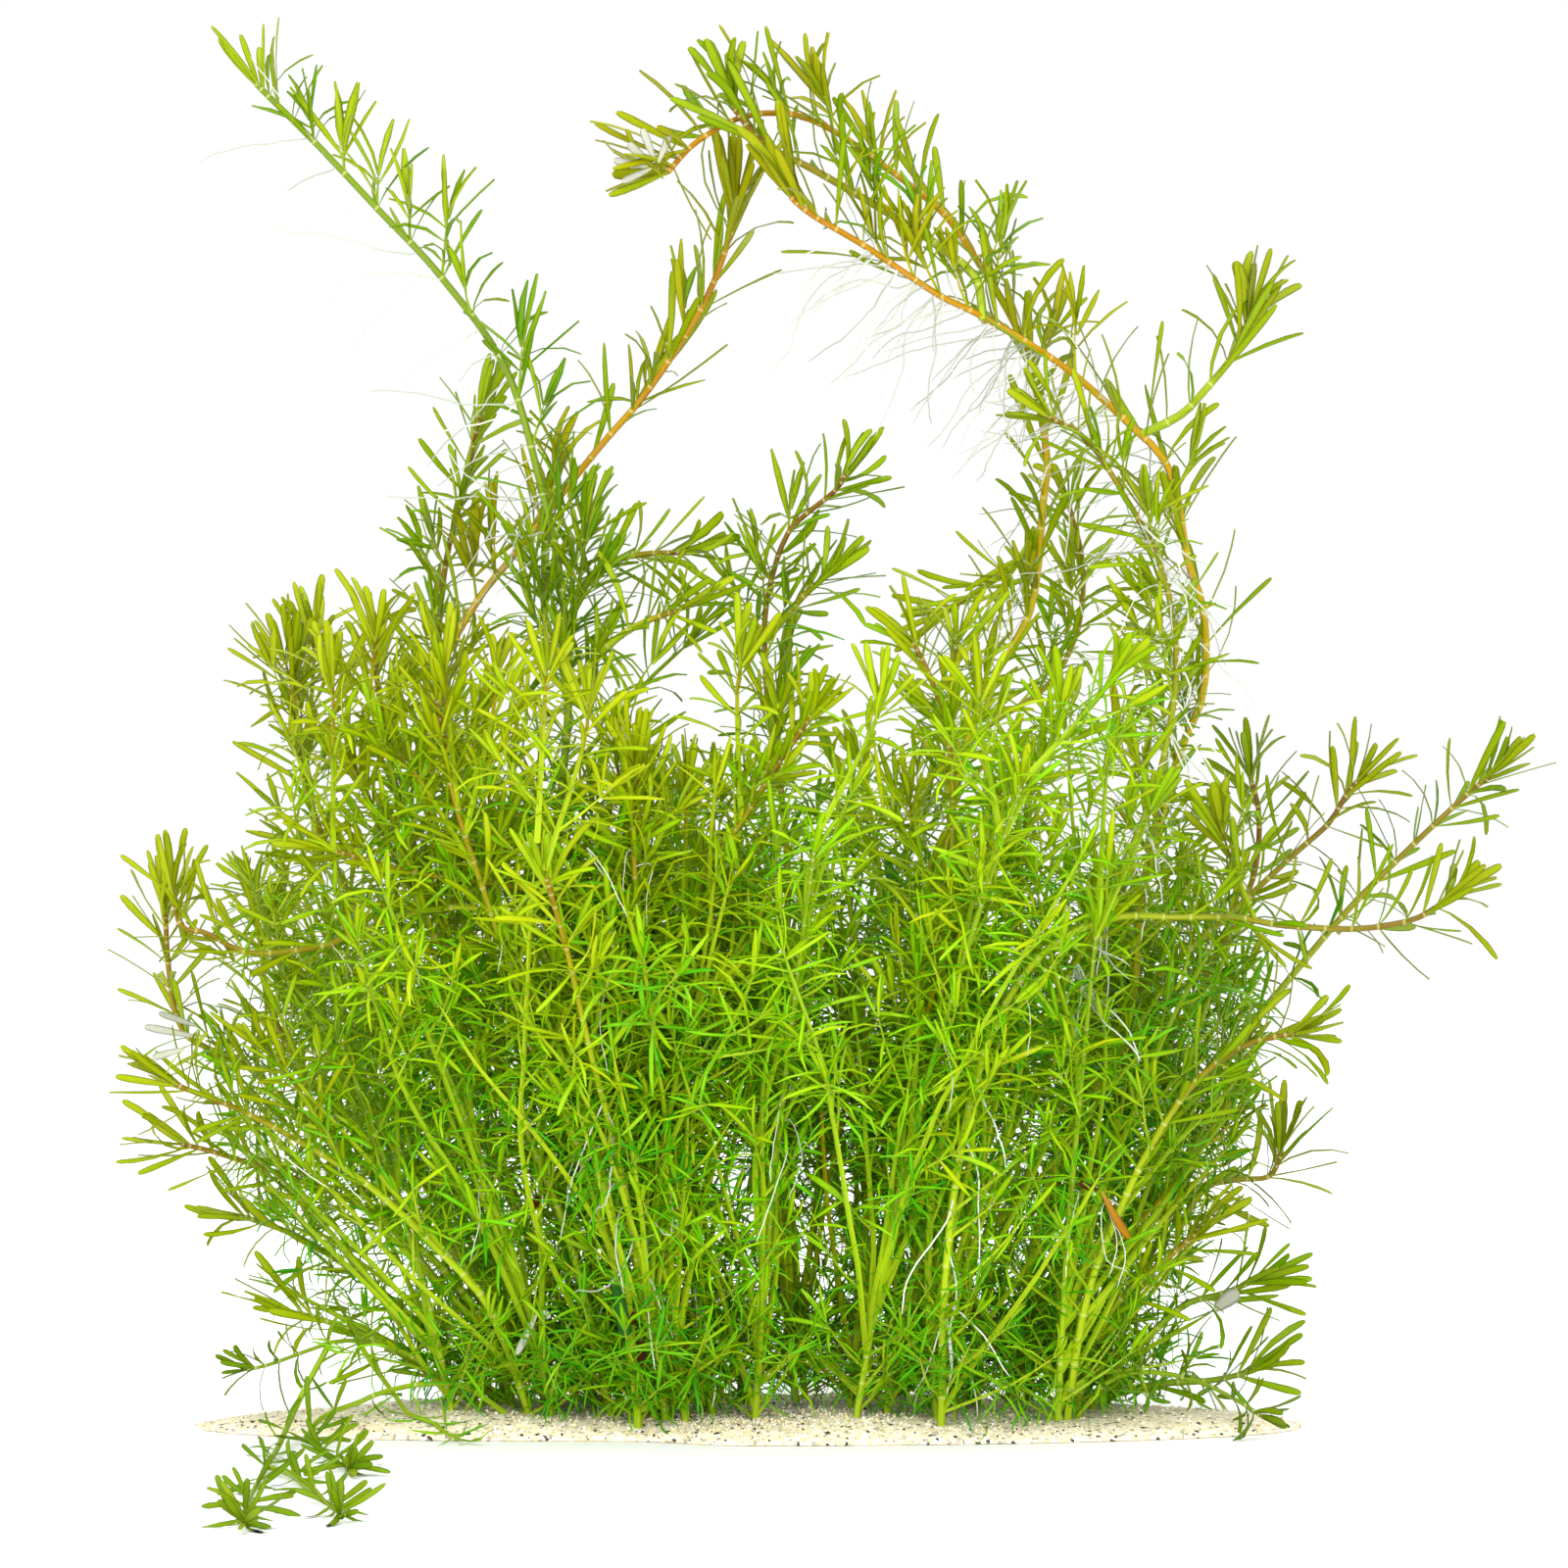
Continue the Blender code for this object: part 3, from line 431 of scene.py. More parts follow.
def place_all():
    """Every stem's route, by name, each clear of those before it."""
    routes, drawn = {}, {}

    def keep(name, forked, layout, *about):
        placed = list(drawn.values())
        routes[name], drawn[name] = place_stem(lambda shift: layout(*about, shift), placed, forked)

    for name, (depths, seen) in {**ROOTED, **inner_stems()}.items():
        keep(name, False, rooted_route, depths, seen)
    for name, (carrier, depths, seen) in FORKED.items():
        keep(name, True, forked_route, drawn[carrier], depths, seen)
    for name, (carrier, seen) in LYING.items():
        keep(name, carrier is not None, lying_route, drawn.get(carrier), seen)
    return routes


# How a stem grows, by kind: its radius at foot and tip, how far apart its whorls stand, the
# pull of its leaves towards the light, how readily it loses the leaves on its underside, how
# many long shoots rise from its foot, how many short ones sprawl there and how many rise from
# its middle, how often a node bears a side shoot, how vigorous its leaves get high in the light
# and near its tip, and beside the usual ones the length and width of its leaves and the size of
# its side shoots.
Habit = namedtuple(
    "Habit", "girth internode light bald basal low rising shoots height vigour leaf small")
HABITS = {
    "lone": Habit((1.15, 0.8), 12.5, 0.4, 1.0, 1, 3, 0, 0.9, 0.78, 0.5, (1.25, 0.95), 0.95),
    "arch": Habit((1.15, 0.78), 8.0, 0.7, 0.7, 5, 7, 0, 0.4, 1.0, 1.0, (1.33, 1.2), 0.9),
    "left": Habit((1.1, 0.68), 6.8, 0.12, 0.2, 2, 6, 0, 0.6, 1.0, 1.0, (1.08, 1.0), 0.95),
    "outer": Habit((1.1, 0.68), 6.8, 0.12, 0.2, 1, 6, 0, 0.7, 1.0, 1.0, (1.08, 1.0), 0.95),
    "middle": Habit((1.05, 0.62), 6.8, 0.15, 0.1, 7, 8, 1, 0.75, 1.0, 0.9, (1.05, 1.0), 1.0),
    "inner": Habit((0.9, 0.52), 6.8, 0.1, 0.0, 8, 8, 1, 0.7, 1.0, 0.55, (1.05, 1.0), 1.0),
    "trailing": Habit((0.75, 0.5), 11.0, 0.3, 0.2, 0, 0, 0, 0.5, 0.75, 0.5, (0.78, 1.3), 1.0),
}

# The habit of a stem, by how its name begins: the first row that fits. The rest are middle.
NAMED_HABITS = (
    ("long_left", "lone"), ("inner", "inner"), (("trailing", "right_low_c"), "trailing"),
    (("high_arch", "orange_arch", "left_arch_", "brown_arch", "right_top"), "arch"),
    ("left", "left"), (("right", "flat", "looped"), "outer"),
)

# The thin shoots that grow on a stem, by kind: girth at foot and tip, corners round, how far
# apart the whorls stand, how long the bare foot is, how much lighter the leaves are on average
# and how much that varies, then how the shoot bends: its pull towards the light, how much it
# wanders and how long its steps are. The bare foot of a basal shoot varies between two values.
Kind = namedtuple("Kind", "girth sides internode bare mood bend")
Bend = namedtuple("Bend", "lift wander step")
SIDE = Kind((0.5, 0.28), 3, 5.4, 3.0, (0.05, 0.15), Bend(0.07, 0.07, 4.0))
LOW = Kind((0.5, 0.28), 3, 5.4, 2.0, (0.0, 0.15), Bend(0.04, 0.08, 4.0))
TWIG = Kind((0.5, 0.28), 3, 5.4, 2.5, (0.0, 0.08), Bend(0.07, 0.08, 4.0))
BASAL = Kind((0.78, 0.42), 4, 6.4, (10.0, 75.0), (0.0, 0.14), Bend(0.01, 0.05, 5.0))
RISING = Kind((0.78, 0.42), 4, 6.4, 6.0, (0.04, 0.1), Bend(0.02, 0.05, 5.0))

# The skin of a stem: its corners round, how far apart its rings of corners stand, how much of
# its foot is bare, how much the tone of its leaves varies, how late it tapers and how blunt it
# ends. Then the skin of a thin shoot and the swollen rings at a stem's nodes.
STEM_SIDES = 6
STEM_STEP = 4.0
STEM_BARE = 5.0
STEM_MOOD = 0.08
GIRTH_CURVE = 1.5
STEM_END = 0.3
SHOOT_STEP = 6.0
SHOOT_TONE = 0.6
SHOOT_END = 0.4
RING_HALF = 0.5
RING_SWELL = 1.15

# How deep in the sand a rooted stem begins
BELOW_SAND = 2.0

# How far short of its laid-out tip a stem ends, so that the leaves of its crown reach the tip.
# Some tips are nearly bare. The third value is for the shoots of the crowns.
TIP_LEFT_OUT = 10.0
BARE_TIP_LEFT_OUT = 4.0
CROWN_LEFT_OUT = 6.0
BARE_TIPS = ("high_arch", "orange_arch", "brown_arch", "left_flat", "left_arched",
             "left_curved")

# Whorls, counted from the tip down. They stand close in the crown, which bears no twigs, and
# wider below it. The leaves of a whorl open out as more whorls grow above it.
CROWN_GAP = 2.5
STEM_CROWN_GAP = 1.8
CROWN_GROWTH = 1.45
CROWN_WHORLS = 4
TIP_SPACE = 0.6
STEM_WHORL = 4
SHOOT_WHORL = 3
CROWN_OPENING = 1.8
SHOOT_OPENING = 0.8

# Leaves, from the weakest to the most vigorous: their length, width, bend and lean from the
# stem, then how much each leaf varies and how far out on the stem it sits
LEAF_LENGTH = (9.6, 17.5)
LEAF_WIDTH = (0.57, 1.85)
LEAF_BEND = (-1.6, -0.15)
LEAF_LEAN = (math.radians(82), math.radians(58))
LEAST_BEND = 0.02
TURN_NOISE = 0.4
LEAN_NOISE = 0.2
BEND_NOISE = 0.5
TWIST_NOISE = 0.6
ROLL_NOISE = 0.5
LENGTH_NOISE = 0.12
WIDTH_NOISE = 0.1
VIGOUR_NOISE = 0.1
LEAF_SEAT = 0.6

# Leaves near the tip are shorter, wider and more upright than those below. Further down, the
# weak ones turn level.
YOUNG_LEAF = 0.78
YOUNG_WHORLS = 0.9
YOUNG_WIDTH = 1.22
OLD_WIDTH = 0.86
YOUNG_LEAN = 0.3
LEVELLING = 0.6

# Weak shoots lose the leaves near their foot, and some stems those on their underside
LOST_LEAVES = 0.6
LOSING_RUN = 60.0
UNDERSIDE = -0.25

# A leaf's tone: 0 is deep green and 1 the yellowest
TONE_BASE = 0.03
TONE_BY_VIGOUR = 0.65
TONE_NOISE = 0.13
TONE_HEIGHTS = (50.0, 170.0)
HIGH_TONE = 0.13
TONE_SIDES = (50.0, 120.0)
LEFT_TONE = 0.12
TIP_TONE = 0.22
TIP_TONE_RUN = 16.0

# Vigour by height and by the distance from the tip
LOW_VIGOUR = 0.15
MOST_VIGOUR = 1.1
VIGOUR_HEIGHTS = (80.0, 210.0)
VIGOUR_RUN = (45.0, 150.0)
WEAK_HEIGHTS = (20.0, 200.0)
WEAK_VIGOUR = (0.0, 0.55)
WEAK_TIP = 0.15
WEAK_TIP_RUN = 12.0

# Side shoots, by the height at which they start: their length and how far they lean from the
# stem. Their length varies by a share, and they stay shorter than the stem beyond them.
HEIGHTS = (10.0, 60.0, 110.0, 160.0, 200.0)
SHOOT_LENGTHS = (26.0, 34.0, 34.0, 23.0, 14.0)
SHOOT_LEANS = (66.0, 50.0, 44.0, 42.0, 40.0)
SHOOT_SIZES = (0.5, 1.25)
SHOOT_SHARE = 0.32
SHORTEST_SHOOT = 5.0
UPPER_SIDE = 0.75
CLUMP_LIGHT = 0.5

# Shoots from the foot and the middle of a stem. The long ones from its foot fan out where the
# stem stands further from the clump's middle than BASAL_STRAIGHT.
BASAL_START = (3.0, 40.0)
BASAL_LENGTH = (55.0, 150.0)
BASAL_SPREAD = (0.084, 0.42)
BASAL_RISE = 0.15
BASAL_STRAIGHT = 35.0
BASAL_FAN = 85.0
LOW_START = (1.5, 16.0)
LOW_LENGTH = (12.0, 34.0)
LOW_SPREAD = (0.8, 2.6)
RISING_START = (0.3, 0.72)
RISING_TOP = (120.0, 200.0)
RISING_PULL = 0.5
RISING_SPREAD = (0.0, 0.35)
RISING_REACH = 112.0
SHORTEST_RISING = 25.0
TWIG_SHARE = 0.45
TWIG_LENGTH = (8.0, 24.0)

# What the clump keeps within, as seen from the front
CLUMP_HEIGHTS = (0.0, 30.0, 60.0, 120.0, 170.0)
CLUMP_LEFT = (-92.0, -118.0, -132.0, -136.0, -118.0)
CLUMP_RIGHT = (106.0, 120.0, 124.0, 128.0, 112.0)
CLUMP_DEPTH = 78.0

# Side, low and basal shoots with no more points than these inside the clump are left out
SIDE_POINTS = 2
LOW_POINTS = 3
BASAL_POINTS = 5

# A thin shoot bends at least so often, and runs so high above the sand
FEWEST_BENDS = 4
ROUTE_ABOVE_SAND = 1.0

# Corners round a stem are counted from across this direction, which no stem sets off along
CROSS_START = (0.1, 1.0, 0.2)
SEED = 407


class Shoot:
    """A stem or side shoot: a smooth run of points, with a cross direction carried along."""

    def __init__(self, route):
        self.route = np.array(route)
        self.run = run_along(self.route)
        self.length = self.run[-1]
        self.along = unit(np.gradient(self.route, self.run, axis=0))
        side = np.cross(self.along[0], CROSS_START)
        carried = []
        for along in self.along:
            side = unit(side - along * (side @ along))
            carried.append(side)
        self.side = np.array(carried)

    def at(self, lengths):
        """The points, and the directions along and across, at these lengths from the foot."""
        point, along, side = [at_lengths(rows, self.run, lengths)
                              for rows in (self.route, self.along, self.side)]
        return point, unit(along), unit(side)


def whorl_places(length, bare, internode, gap=CROWN_GAP):
    """Where the whorls sit, as lengths from the foot, the crown's first."""
    places = []
    place = length - TIP_SPACE
    while place > bare:
        places.append(place)
        place -= gap
        gap = min(internode, gap * CROWN_GROWTH)
    return np.array(places)


def tube(shoot, places, radii, sides, tones, ring):
    """A skin round a shoot, with a ring of corners at each place and both ends closed."""
    point, along, side = shoot.at(places)
    other = np.cross(along, side)
    angles = TURN * np.arange(sides)[:, None] / sides
    out, _ = turned(side[:, None], other[:, None], angles)
    corners = point[:, None] + radii[:, None, None] * out
    first = np.arange(len(places) - 1)[:, None] * sides
    low, after = first + np.arange(sides), first + (np.arange(sides) + 1) % sides
    walls = np.stack([low, after, sides + after, sides + low], axis=-1).reshape(-1, 4)
    last = (len(places) - 1) * sides
    return {
        "co": corners.reshape(-1, 3),
        "faces": [walls, np.array([np.arange(sides)[::-1], last + np.arange(sides)])],
        "tone": np.repeat(np.interp(places / shoot.length, (0, 1), tones), sides),
        "ring": np.repeat(ring, sides),
    }


def stem_skin(shoot, whorls, girth, tones):
    """A stem with a swollen ring at every whorl."""
    plain = np.arange(0.0, shoot.length, STEM_STEP)
    plain = plain[np.abs(plain[:, None] - whorls).min(axis=1) > 2 * RING_HALF]
    beside = [whorls - RING_HALF, whorls + RING_HALF, [shoot.length]]
    places = np.concatenate([plain, whorls, *beside])
    marks = np.zeros(len(places))
    marks[len(plain):len(plain) + len(whorls)] = 1.0
    order = np.argsort(places)
    places, marks = places[order], marks[order]
    radii = between(girth, (places / shoot.length) ** GIRTH_CURVE)
    radii *= between((1.0, RING_SWELL), marks)
    radii[-1] *= STEM_END
    return tube(shoot, places, radii, STEM_SIDES, tones, marks)


def plain_skin(shoot, girth, sides, step, tones):
    """A thin shoot or root without rings."""
    places = np.linspace(0.0, shoot.length, max(3, int(shoot.length / step) + 1))
    radii = between(girth, places / shoot.length)
    radii[-1] *= SHOOT_END
    return tube(shoot, places, radii, sides, tones, np.zeros(len(places)))


def whorl_leaves(shoot, whorls, vigour, habit, rng, mood, each, opening, size):
    """The leaves of a shoot's whorls, each as a row of values."""
    point, along, side = shoot.at(whorls)
    other = np.cross(along, side)
    shape = (len(whorls), each)
    age = np.arange(len(whorls))[:, None]
    turn = ((age / 2 + np.arange(each)) * TURN / each
            + rng.normal(0.0, TURN_NOISE, shape) + rng.uniform(0, TURN))
    out, _ = turned(side[:, None], other[:, None], turn[..., None])
    opened = 1.0 - np.exp(-age / opening)
    vigour = vigour[:, None] + rng.normal(0.0, VIGOUR_NOISE, shape)
    vigour = np.clip(vigour, 0.0, MOST_VIGOUR)
    lean = between(LEAF_LEAN, vigour) * between((YOUNG_LEAN, 1.0), opened)
    lean = lean * rng.normal(1.0, LEAN_NOISE, shape)
    heading, under = turned(along[:, None], out, lean[..., None])
    heading = heading + UP * habit.light
    level = (LEVELLING * (1.0 - vigour) * opened)[..., None]
    heading = unit(heading - UP * heading[..., 2:] * level)
    face = unit(UP * level - under)
    length = between(LEAF_LENGTH, vigour) * habit.leaf[0] * size
    length = length * (1.0 - (1.0 - YOUNG_LEAF) * np.exp(-age / YOUNG_WHORLS))
    width = between(LEAF_WIDTH, vigour) * between((YOUNG_WIDTH, OLD_WIDTH), opened) * habit.leaf[1]
    bend = between(LEAF_BEND, vigour) * opened + rng.normal(0.0, BEND_NOISE, shape)
    from_tip = (shoot.length - whorls)[:, None]
    sunny = (np.interp(point[:, 2:], TONE_HEIGHTS, (0.0, HIGH_TONE))
             + np.interp(-point[:, :1], TONE_SIDES, (0.0, LEFT_TONE)))
    tone = (TONE_BASE + TONE_BY_VIGOUR * vigour + sunny
            + TIP_TONE * np.exp(-from_tip / TIP_TONE_RUN)
            + rng.normal(0.0, TONE_NOISE, shape) + mood)
    lost = LOST_LEAVES * np.clip(from_tip / max(shoot.length, LOSING_RUN), 0, 1)
    lost = lost + habit.bald * (out[..., 2] < UNDERSIDE) * opened
    kept = rng.random(shape) > lost
    rows = {
        "base": point[:, None] + out * habit.girth[1] * LEAF_SEAT, "heading": heading,
        "face": face, "length": length * rng.normal(1.0, LENGTH_NOISE, shape),
        "width": width * rng.normal(1.0, WIDTH_NOISE, shape), "bend": bend, "tone": tone,
        "twist": rng.normal(0.0, TWIST_NOISE, shape), "roll": rng.normal(0.0, ROLL_NOISE, shape),
    }
    return {key: row[kept] for key, row in rows.items()}


def strong_leaves(shoot, whorls, habit, rng, mood):
    """The broad leaves of a stem: full sized near its tip and high in the light."""
    by_height = np.interp(shoot.at(whorls)[0][:, 2], VIGOUR_HEIGHTS, (LOW_VIGOUR, habit.height))
    by_age = habit.vigour * np.interp(shoot.length - whorls, VIGOUR_RUN, (1.0, 0.0))
    return whorl_leaves(shoot, whorls, np.maximum(by_height, by_age), habit, rng, mood,
                        STEM_WHORL, CROWN_OPENING, 1.0)


def weak_leaves(shoot, whorls, habit, rng, mood):
    """The narrow leaves of a thin shoot, a little stronger towards its tip."""
    by_height = np.interp(shoot.at(whorls)[0][:, 2], WEAK_HEIGHTS, WEAK_VIGOUR)
    vigour = (by_height + rng.normal(0.0, VIGOUR_NOISE)
              + WEAK_TIP * np.exp(-(shoot.length - whorls) / WEAK_TIP_RUN))
    return whorl_leaves(shoot, whorls, vigour, habit, rng, mood,
                        SHOOT_WHORL, SHOOT_OPENING, habit.small)


def blades(leaf, rows):
    """Copies of the modelled leaf, one for each row, bent and turned into place."""
    heading = rows["heading"]
    face = unit(rows["face"] - heading * (rows["face"] * heading).sum(axis=1, keepdims=True))
    across = np.cross(face, heading)
    face, across = turned(face, across, rows["roll"][:, None])
    bend = np.where(np.abs(rows["bend"]) < LEAST_BEND, LEAST_BEND, rows["bend"])[:, None]
    along = leaf["co"][:, 2][None, :]
    arc = (bend * along)[..., None]
    length = (rows["length"][:, None] / bend)[..., None]
    twist = (rows["twist"][:, None] * along)[..., None]
    _, lifted = turned(heading[:, None], face[:, None], arc)
    wide, thick = turned(across[:, None], lifted, twist)
    width = rows["width"][:, None, None]
    corners = (rows["base"][:, None] + heading[:, None] * length * np.sin(arc)
               + face[:, None] * length * (1 - np.cos(arc))
               + wide * leaf["co"][:, :1] * width + thick * leaf["co"][:, 1:2] * width)
    count, each = corners.shape[:2]
    offset = np.arange(count) * each
    return {
        "co": corners.reshape(-1, 3),
        "faces": [(faces[None] + offset[:, None, None]).reshape(-1, faces.shape[1])
                  for faces in leaf["faces"]],
        "tone": np.repeat(rows["tone"], each),
        "along": np.tile(leaf["co"][:, 2], count),
        "across": np.tile(leaf["across"], count),
    }


def curved_route(start, heading, length, bend, rng):
    """A route that sets off along heading, wanders and turns towards the light."""
    count = max(FEWEST_BENDS, int(length / bend.step))
    heading = unit(heading)
    points = [np.array(start)]
    for _ in range(count):
        heading = unit(heading + UP * bend.lift + rng.normal(0.0, bend.wander, 3))
        points.append(points[-1] + heading * length / count)
    points = np.array(points)
    low = sand_height(points[1:, 0], points[1:, 1]) + ROUTE_ABOVE_SAND
    points[1:, 2] = np.maximum(points[1:, 2], low)
    return points


def within_clump(route):
    """The part of a route before it leaves the clump."""
    x = as_seen(route)[:, 0]
    left = np.interp(route[:, 2], CLUMP_HEIGHTS, CLUMP_LEFT)
    right = np.interp(route[:, 2], CLUMP_HEIGHTS, CLUMP_RIGHT)
    out = (x < left) | (x > right) | (np.abs(route[:, 1]) > CLUMP_DEPTH)
    return route[:np.argmax(out)] if out.any() else route


def axil_direction(along, side, upward, rng):
    """A direction out from a stem. The more upward, the more it seeks the stem's upper side."""
    other = np.cross(along, side)
    top = math.atan2(other @ UP, side @ UP)
    turn = top + rng.uniform(-math.pi, math.pi) * (1.0 - upward)
    return turned(side, other, turn)[0]


def level_direction(rng):
    """A level direction at random."""
    turn = rng.uniform(0, TURN)
    return np.array([math.cos(turn), math.sin(turn), 0.0])


def side_shoots(stem, whorls, habit, rng):
    """Side shoots in the axils of the older whorls."""
    for place in whorls:
        point, along, side = stem.at(place)
        length = np.interp(point[2], HEIGHTS, SHOOT_LENGTHS) * rng.uniform(*SHOOT_SIZES)
        length = min(length * habit.small, SHOOT_SHARE * (stem.length - place))
        if length < SHORTEST_SHOOT or rng.random() > habit.shoots:
            continue
        out = axil_direction(along, side, habit.bald * UPPER_SIDE, rng)
        lean = math.radians(np.interp(point[2], HEIGHTS, SHOOT_LEANS))
        heading = out * math.sin(lean) + along * math.cos(lean)
        path = curved_route(point, heading, length, SIDE.bend, rng)
        if habit.light < CLUMP_LIGHT:
            path = within_clump(path)
        if len(path) > SIDE_POINTS:
            yield Shoot(path)


def rising_shoots(stem, count, rng):
    """Strong shoots from the middle of a stem, which rise to the top of the clump."""
    for _ in range(count):
        point, along, _ = stem.at(rng.uniform(*RISING_START) * stem.length)
        out = level_direction(rng) * rng.uniform(*RISING_SPREAD)
        length = rng.uniform(*RISING_TOP) - point[2]
        heading = along + UP * RISING_PULL + out
        path = curved_route(point, heading, length, RISING.bend, rng)
        if length > SHORTEST_RISING and abs(path[-1][0]) < RISING_REACH:
            yield Shoot(path)


def basal_shoots(stem, count, rng):
    """Long thin shoots from the lowest nodes, which run up beside the stem and fan out."""
    for _ in range(count):
        point = stem.at(rng.uniform(*BASAL_START))[0]
        ahead = unit(stem.at(0.5 * stem.length)[0] - point)
        out = level_direction(rng) * rng.uniform(*BASAL_SPREAD)
        fan = max(0.0, abs(point[0]) - BASAL_STRAIGHT) / BASAL_FAN
        out[0] += math.copysign(fan, point[0])
        heading = ahead + out + UP * BASAL_RISE
        length = rng.uniform(*BASAL_LENGTH)
        path = within_clump(curved_route(point, heading, length, BASAL.bend, rng))
        if len(path) > BASAL_POINTS:
            yield Shoot(path)


def low_shoots(stem, count, rng):
    """Short shoots that sprawl over the sand from the foot of the stem."""
    for _ in range(count):
        point = stem.at(rng.uniform(*LOW_START))[0]
        out = level_direction(rng) * rng.uniform(*LOW_SPREAD)
        length = rng.uniform(*LOW_LENGTH)
        path = within_clump(curved_route(point, out + UP, length, LOW.bend, rng))
        if len(path) > LOW_POINTS:
            yield Shoot(path)


def joined(rows):
    """Many rows of values as one."""
    return {key: np.concatenate([r[key] for r in rows]) for key in rows[0]}


def leafy_parts(route, rooted, crowns, habit, rng, tones):
    """Everything that grows on one stem: its skins, its broad leaves and its narrow ones."""
    stem = Shoot(route)
    whorls = whorl_places(stem.length, STEM_BARE, habit.internode, STEM_CROWN_GAP)
    mood = rng.normal(0.0, STEM_MOOD)
    skins = [stem_skin(stem, whorls, habit.girth, tones)]
    broad = [strong_leaves(stem, whorls, habit, rng, mood)]
    narrow = []

    def dress(shoot, kind, mood, bare):
        places = whorl_places(shoot.length, bare, kind.internode)
        faded = (tones[0], SHOOT_TONE * tones[1])
        skins.append(plain_skin(shoot, kind.girth, kind.sides, SHOOT_STEP, faded))
        if len(places):
            narrow.append(weak_leaves(shoot, places, habit, rng, mood))
        return places

    def add_twigs(shoot, places, mood):
        for place in places[CROWN_WHORLS:]:
            if rng.random() > TWIG_SHARE:
                continue
            point, along, side = shoot.at(place)
            out = axil_direction(along, side, 0.0, rng)
            length = rng.uniform(*TWIG_LENGTH)
            path = curved_route(point, out + along, length, TWIG.bend, rng)
            dress(Shoot(path), TWIG, mood + rng.normal(*TWIG.mood), TWIG.bare)

    for shoot in list(side_shoots(stem, whorls, habit, rng)):
        dress(shoot, SIDE, rng.normal(*SIDE.mood), SIDE.bare)
    strong = []
    if rooted:
        for shoot in list(low_shoots(stem, habit.low, rng)):
            dress(shoot, LOW, rng.normal(*LOW.mood), LOW.bare)
        for shoot in list(basal_shoots(stem, habit.basal, rng)):
            mood = rng.normal(*BASAL.mood)
            add_twigs(shoot, dress(shoot, BASAL, mood, rng.uniform(*BASAL.bare)), mood)
        strong = list(rising_shoots(stem, habit.rising, rng))
    for shoot in strong + [Shoot(path) for path in crowns]:
        mood = rng.normal(*RISING.mood)
        places = whorl_places(shoot.length, RISING.bare, RISING.internode, STEM_CROWN_GAP)
        skins.append(plain_skin(shoot, RISING.girth, RISING.sides, SHOOT_STEP, tones))
        broad.append(strong_leaves(shoot, places, habit, rng, mood))
        add_twigs(shoot, places, mood)
    return skins, joined(broad), joined(narrow) if narrow else None


# Shoots whose leafy tips show at the top of the clump: the tip, then a point below it, as
# (x, z) in the front view
CROWNS = (
    (-94, 209, -96, 193.5), (-111.5, 208, -111, 194.5), (-120, 202, -116, 186),
    (-106, 197.5, -106, 180), (-77.5, 201, -77, 186.5), (-94, 175, -85, 166.5),
    (-68, 173, -66, 159), (-35, 220, -45.5, 205), (-10, 204.5, -27, 189),
    (-29, 172.5, -28, 156.5), (-64.5, 196.5, -65, 183.5), (-15.5, 170, -16, 156.5),
    (26, 174, 30, 163), (55, 205, 52, 192), (60, 192.5, 59, 180.5),
    (69, 178, 67, 166.5), (93, 176.5, 91, 164), (95, 196.5, 91, 188),
    (120, 156.5, 122, 147.5), (-92.5, 103, -90, 89.5), (-75, 111.5, -73, 102.5),
    (-41, 237.5, -42, 224.5), (-53, 232, -54, 217), (-1, 201, -3, 186.5),
    (9, 189.5, 6, 174.5), (34, 192, 32, 179), (81, 189.5, 78, 176.5),
    (-41, 189.5, -42, 174.5), (-51, 199.5, -52, 185.5), (104, 164.5, 101, 153),
    (-1, 164.5, -2, 152), (41, 164.5, 42, 152), (-84, 144.5, -79, 134.5),
    (59, 152, 58, 139.5), (-129, 99.5, -119, 92),
)

# How far below a crown its stem is looked for, how much lower than in line with the crown, the
# least height there, how much the depth varies, how much a stem's depth counts and how far off
# a point below the least height is taken to be
CROWN_REACH = 30.0
CROWN_DROP = (0.0, -0.5)
CROWN_FOOT = 25.0
CROWN_DEPTH = 7.0
DEPTH_COUNTS = 0.12
TOO_LOW = 1e3


def is_rooted(name):
    """Whether a stem stands in the sand."""
    return name in ROOTED or name.startswith("inner")


def cut_back(route, length):
    """A route without this length of its tip."""
    return route[:-round(length / ROUTE_STEP)]


def nearest_stem(routes, aim, least_height, depth_counts=DEPTH_COUNTS):
    """The stem point that shows closest to aim, with a preference for the front ones."""
    best = None
    for name, route in routes.items():
        away = np.linalg.norm(as_seen(route) - aim, axis=1) + depth_counts * route[:, 1]
        away = np.where(route[:, 2] < least_height, TOO_LOW, away)
        index = int(np.argmin(away))
        if best is None or away[index] < best[0]:
            best = (away[index], name, route[index])
    return best[1:]


def crown_routes(routes, rng):
    """The shoots behind the crowns, by the stem that passes closest below each."""
    carriers = {name: route for name, route in routes.items() if is_rooted(name)}
    grown = {name: [] for name in routes}
    for *tip, x, z in CROWNS:
        below = np.array([x, z])
        aim = below + CROWN_REACH * unit(unit(below - tip) + CROWN_DROP)
        name, start = nearest_stem(carriers, aim, CROWN_FOOT)
        depth = start[1] + rng.uniform(-CROWN_DEPTH, CROWN_DEPTH, 2)
        points = [start, line_of_sight(x, z, depth[0]), line_of_sight(*tip, depth[1])]
        grown[name].append(cut_back(smooth_route(points), CROWN_LEFT_OUT))
    return grown


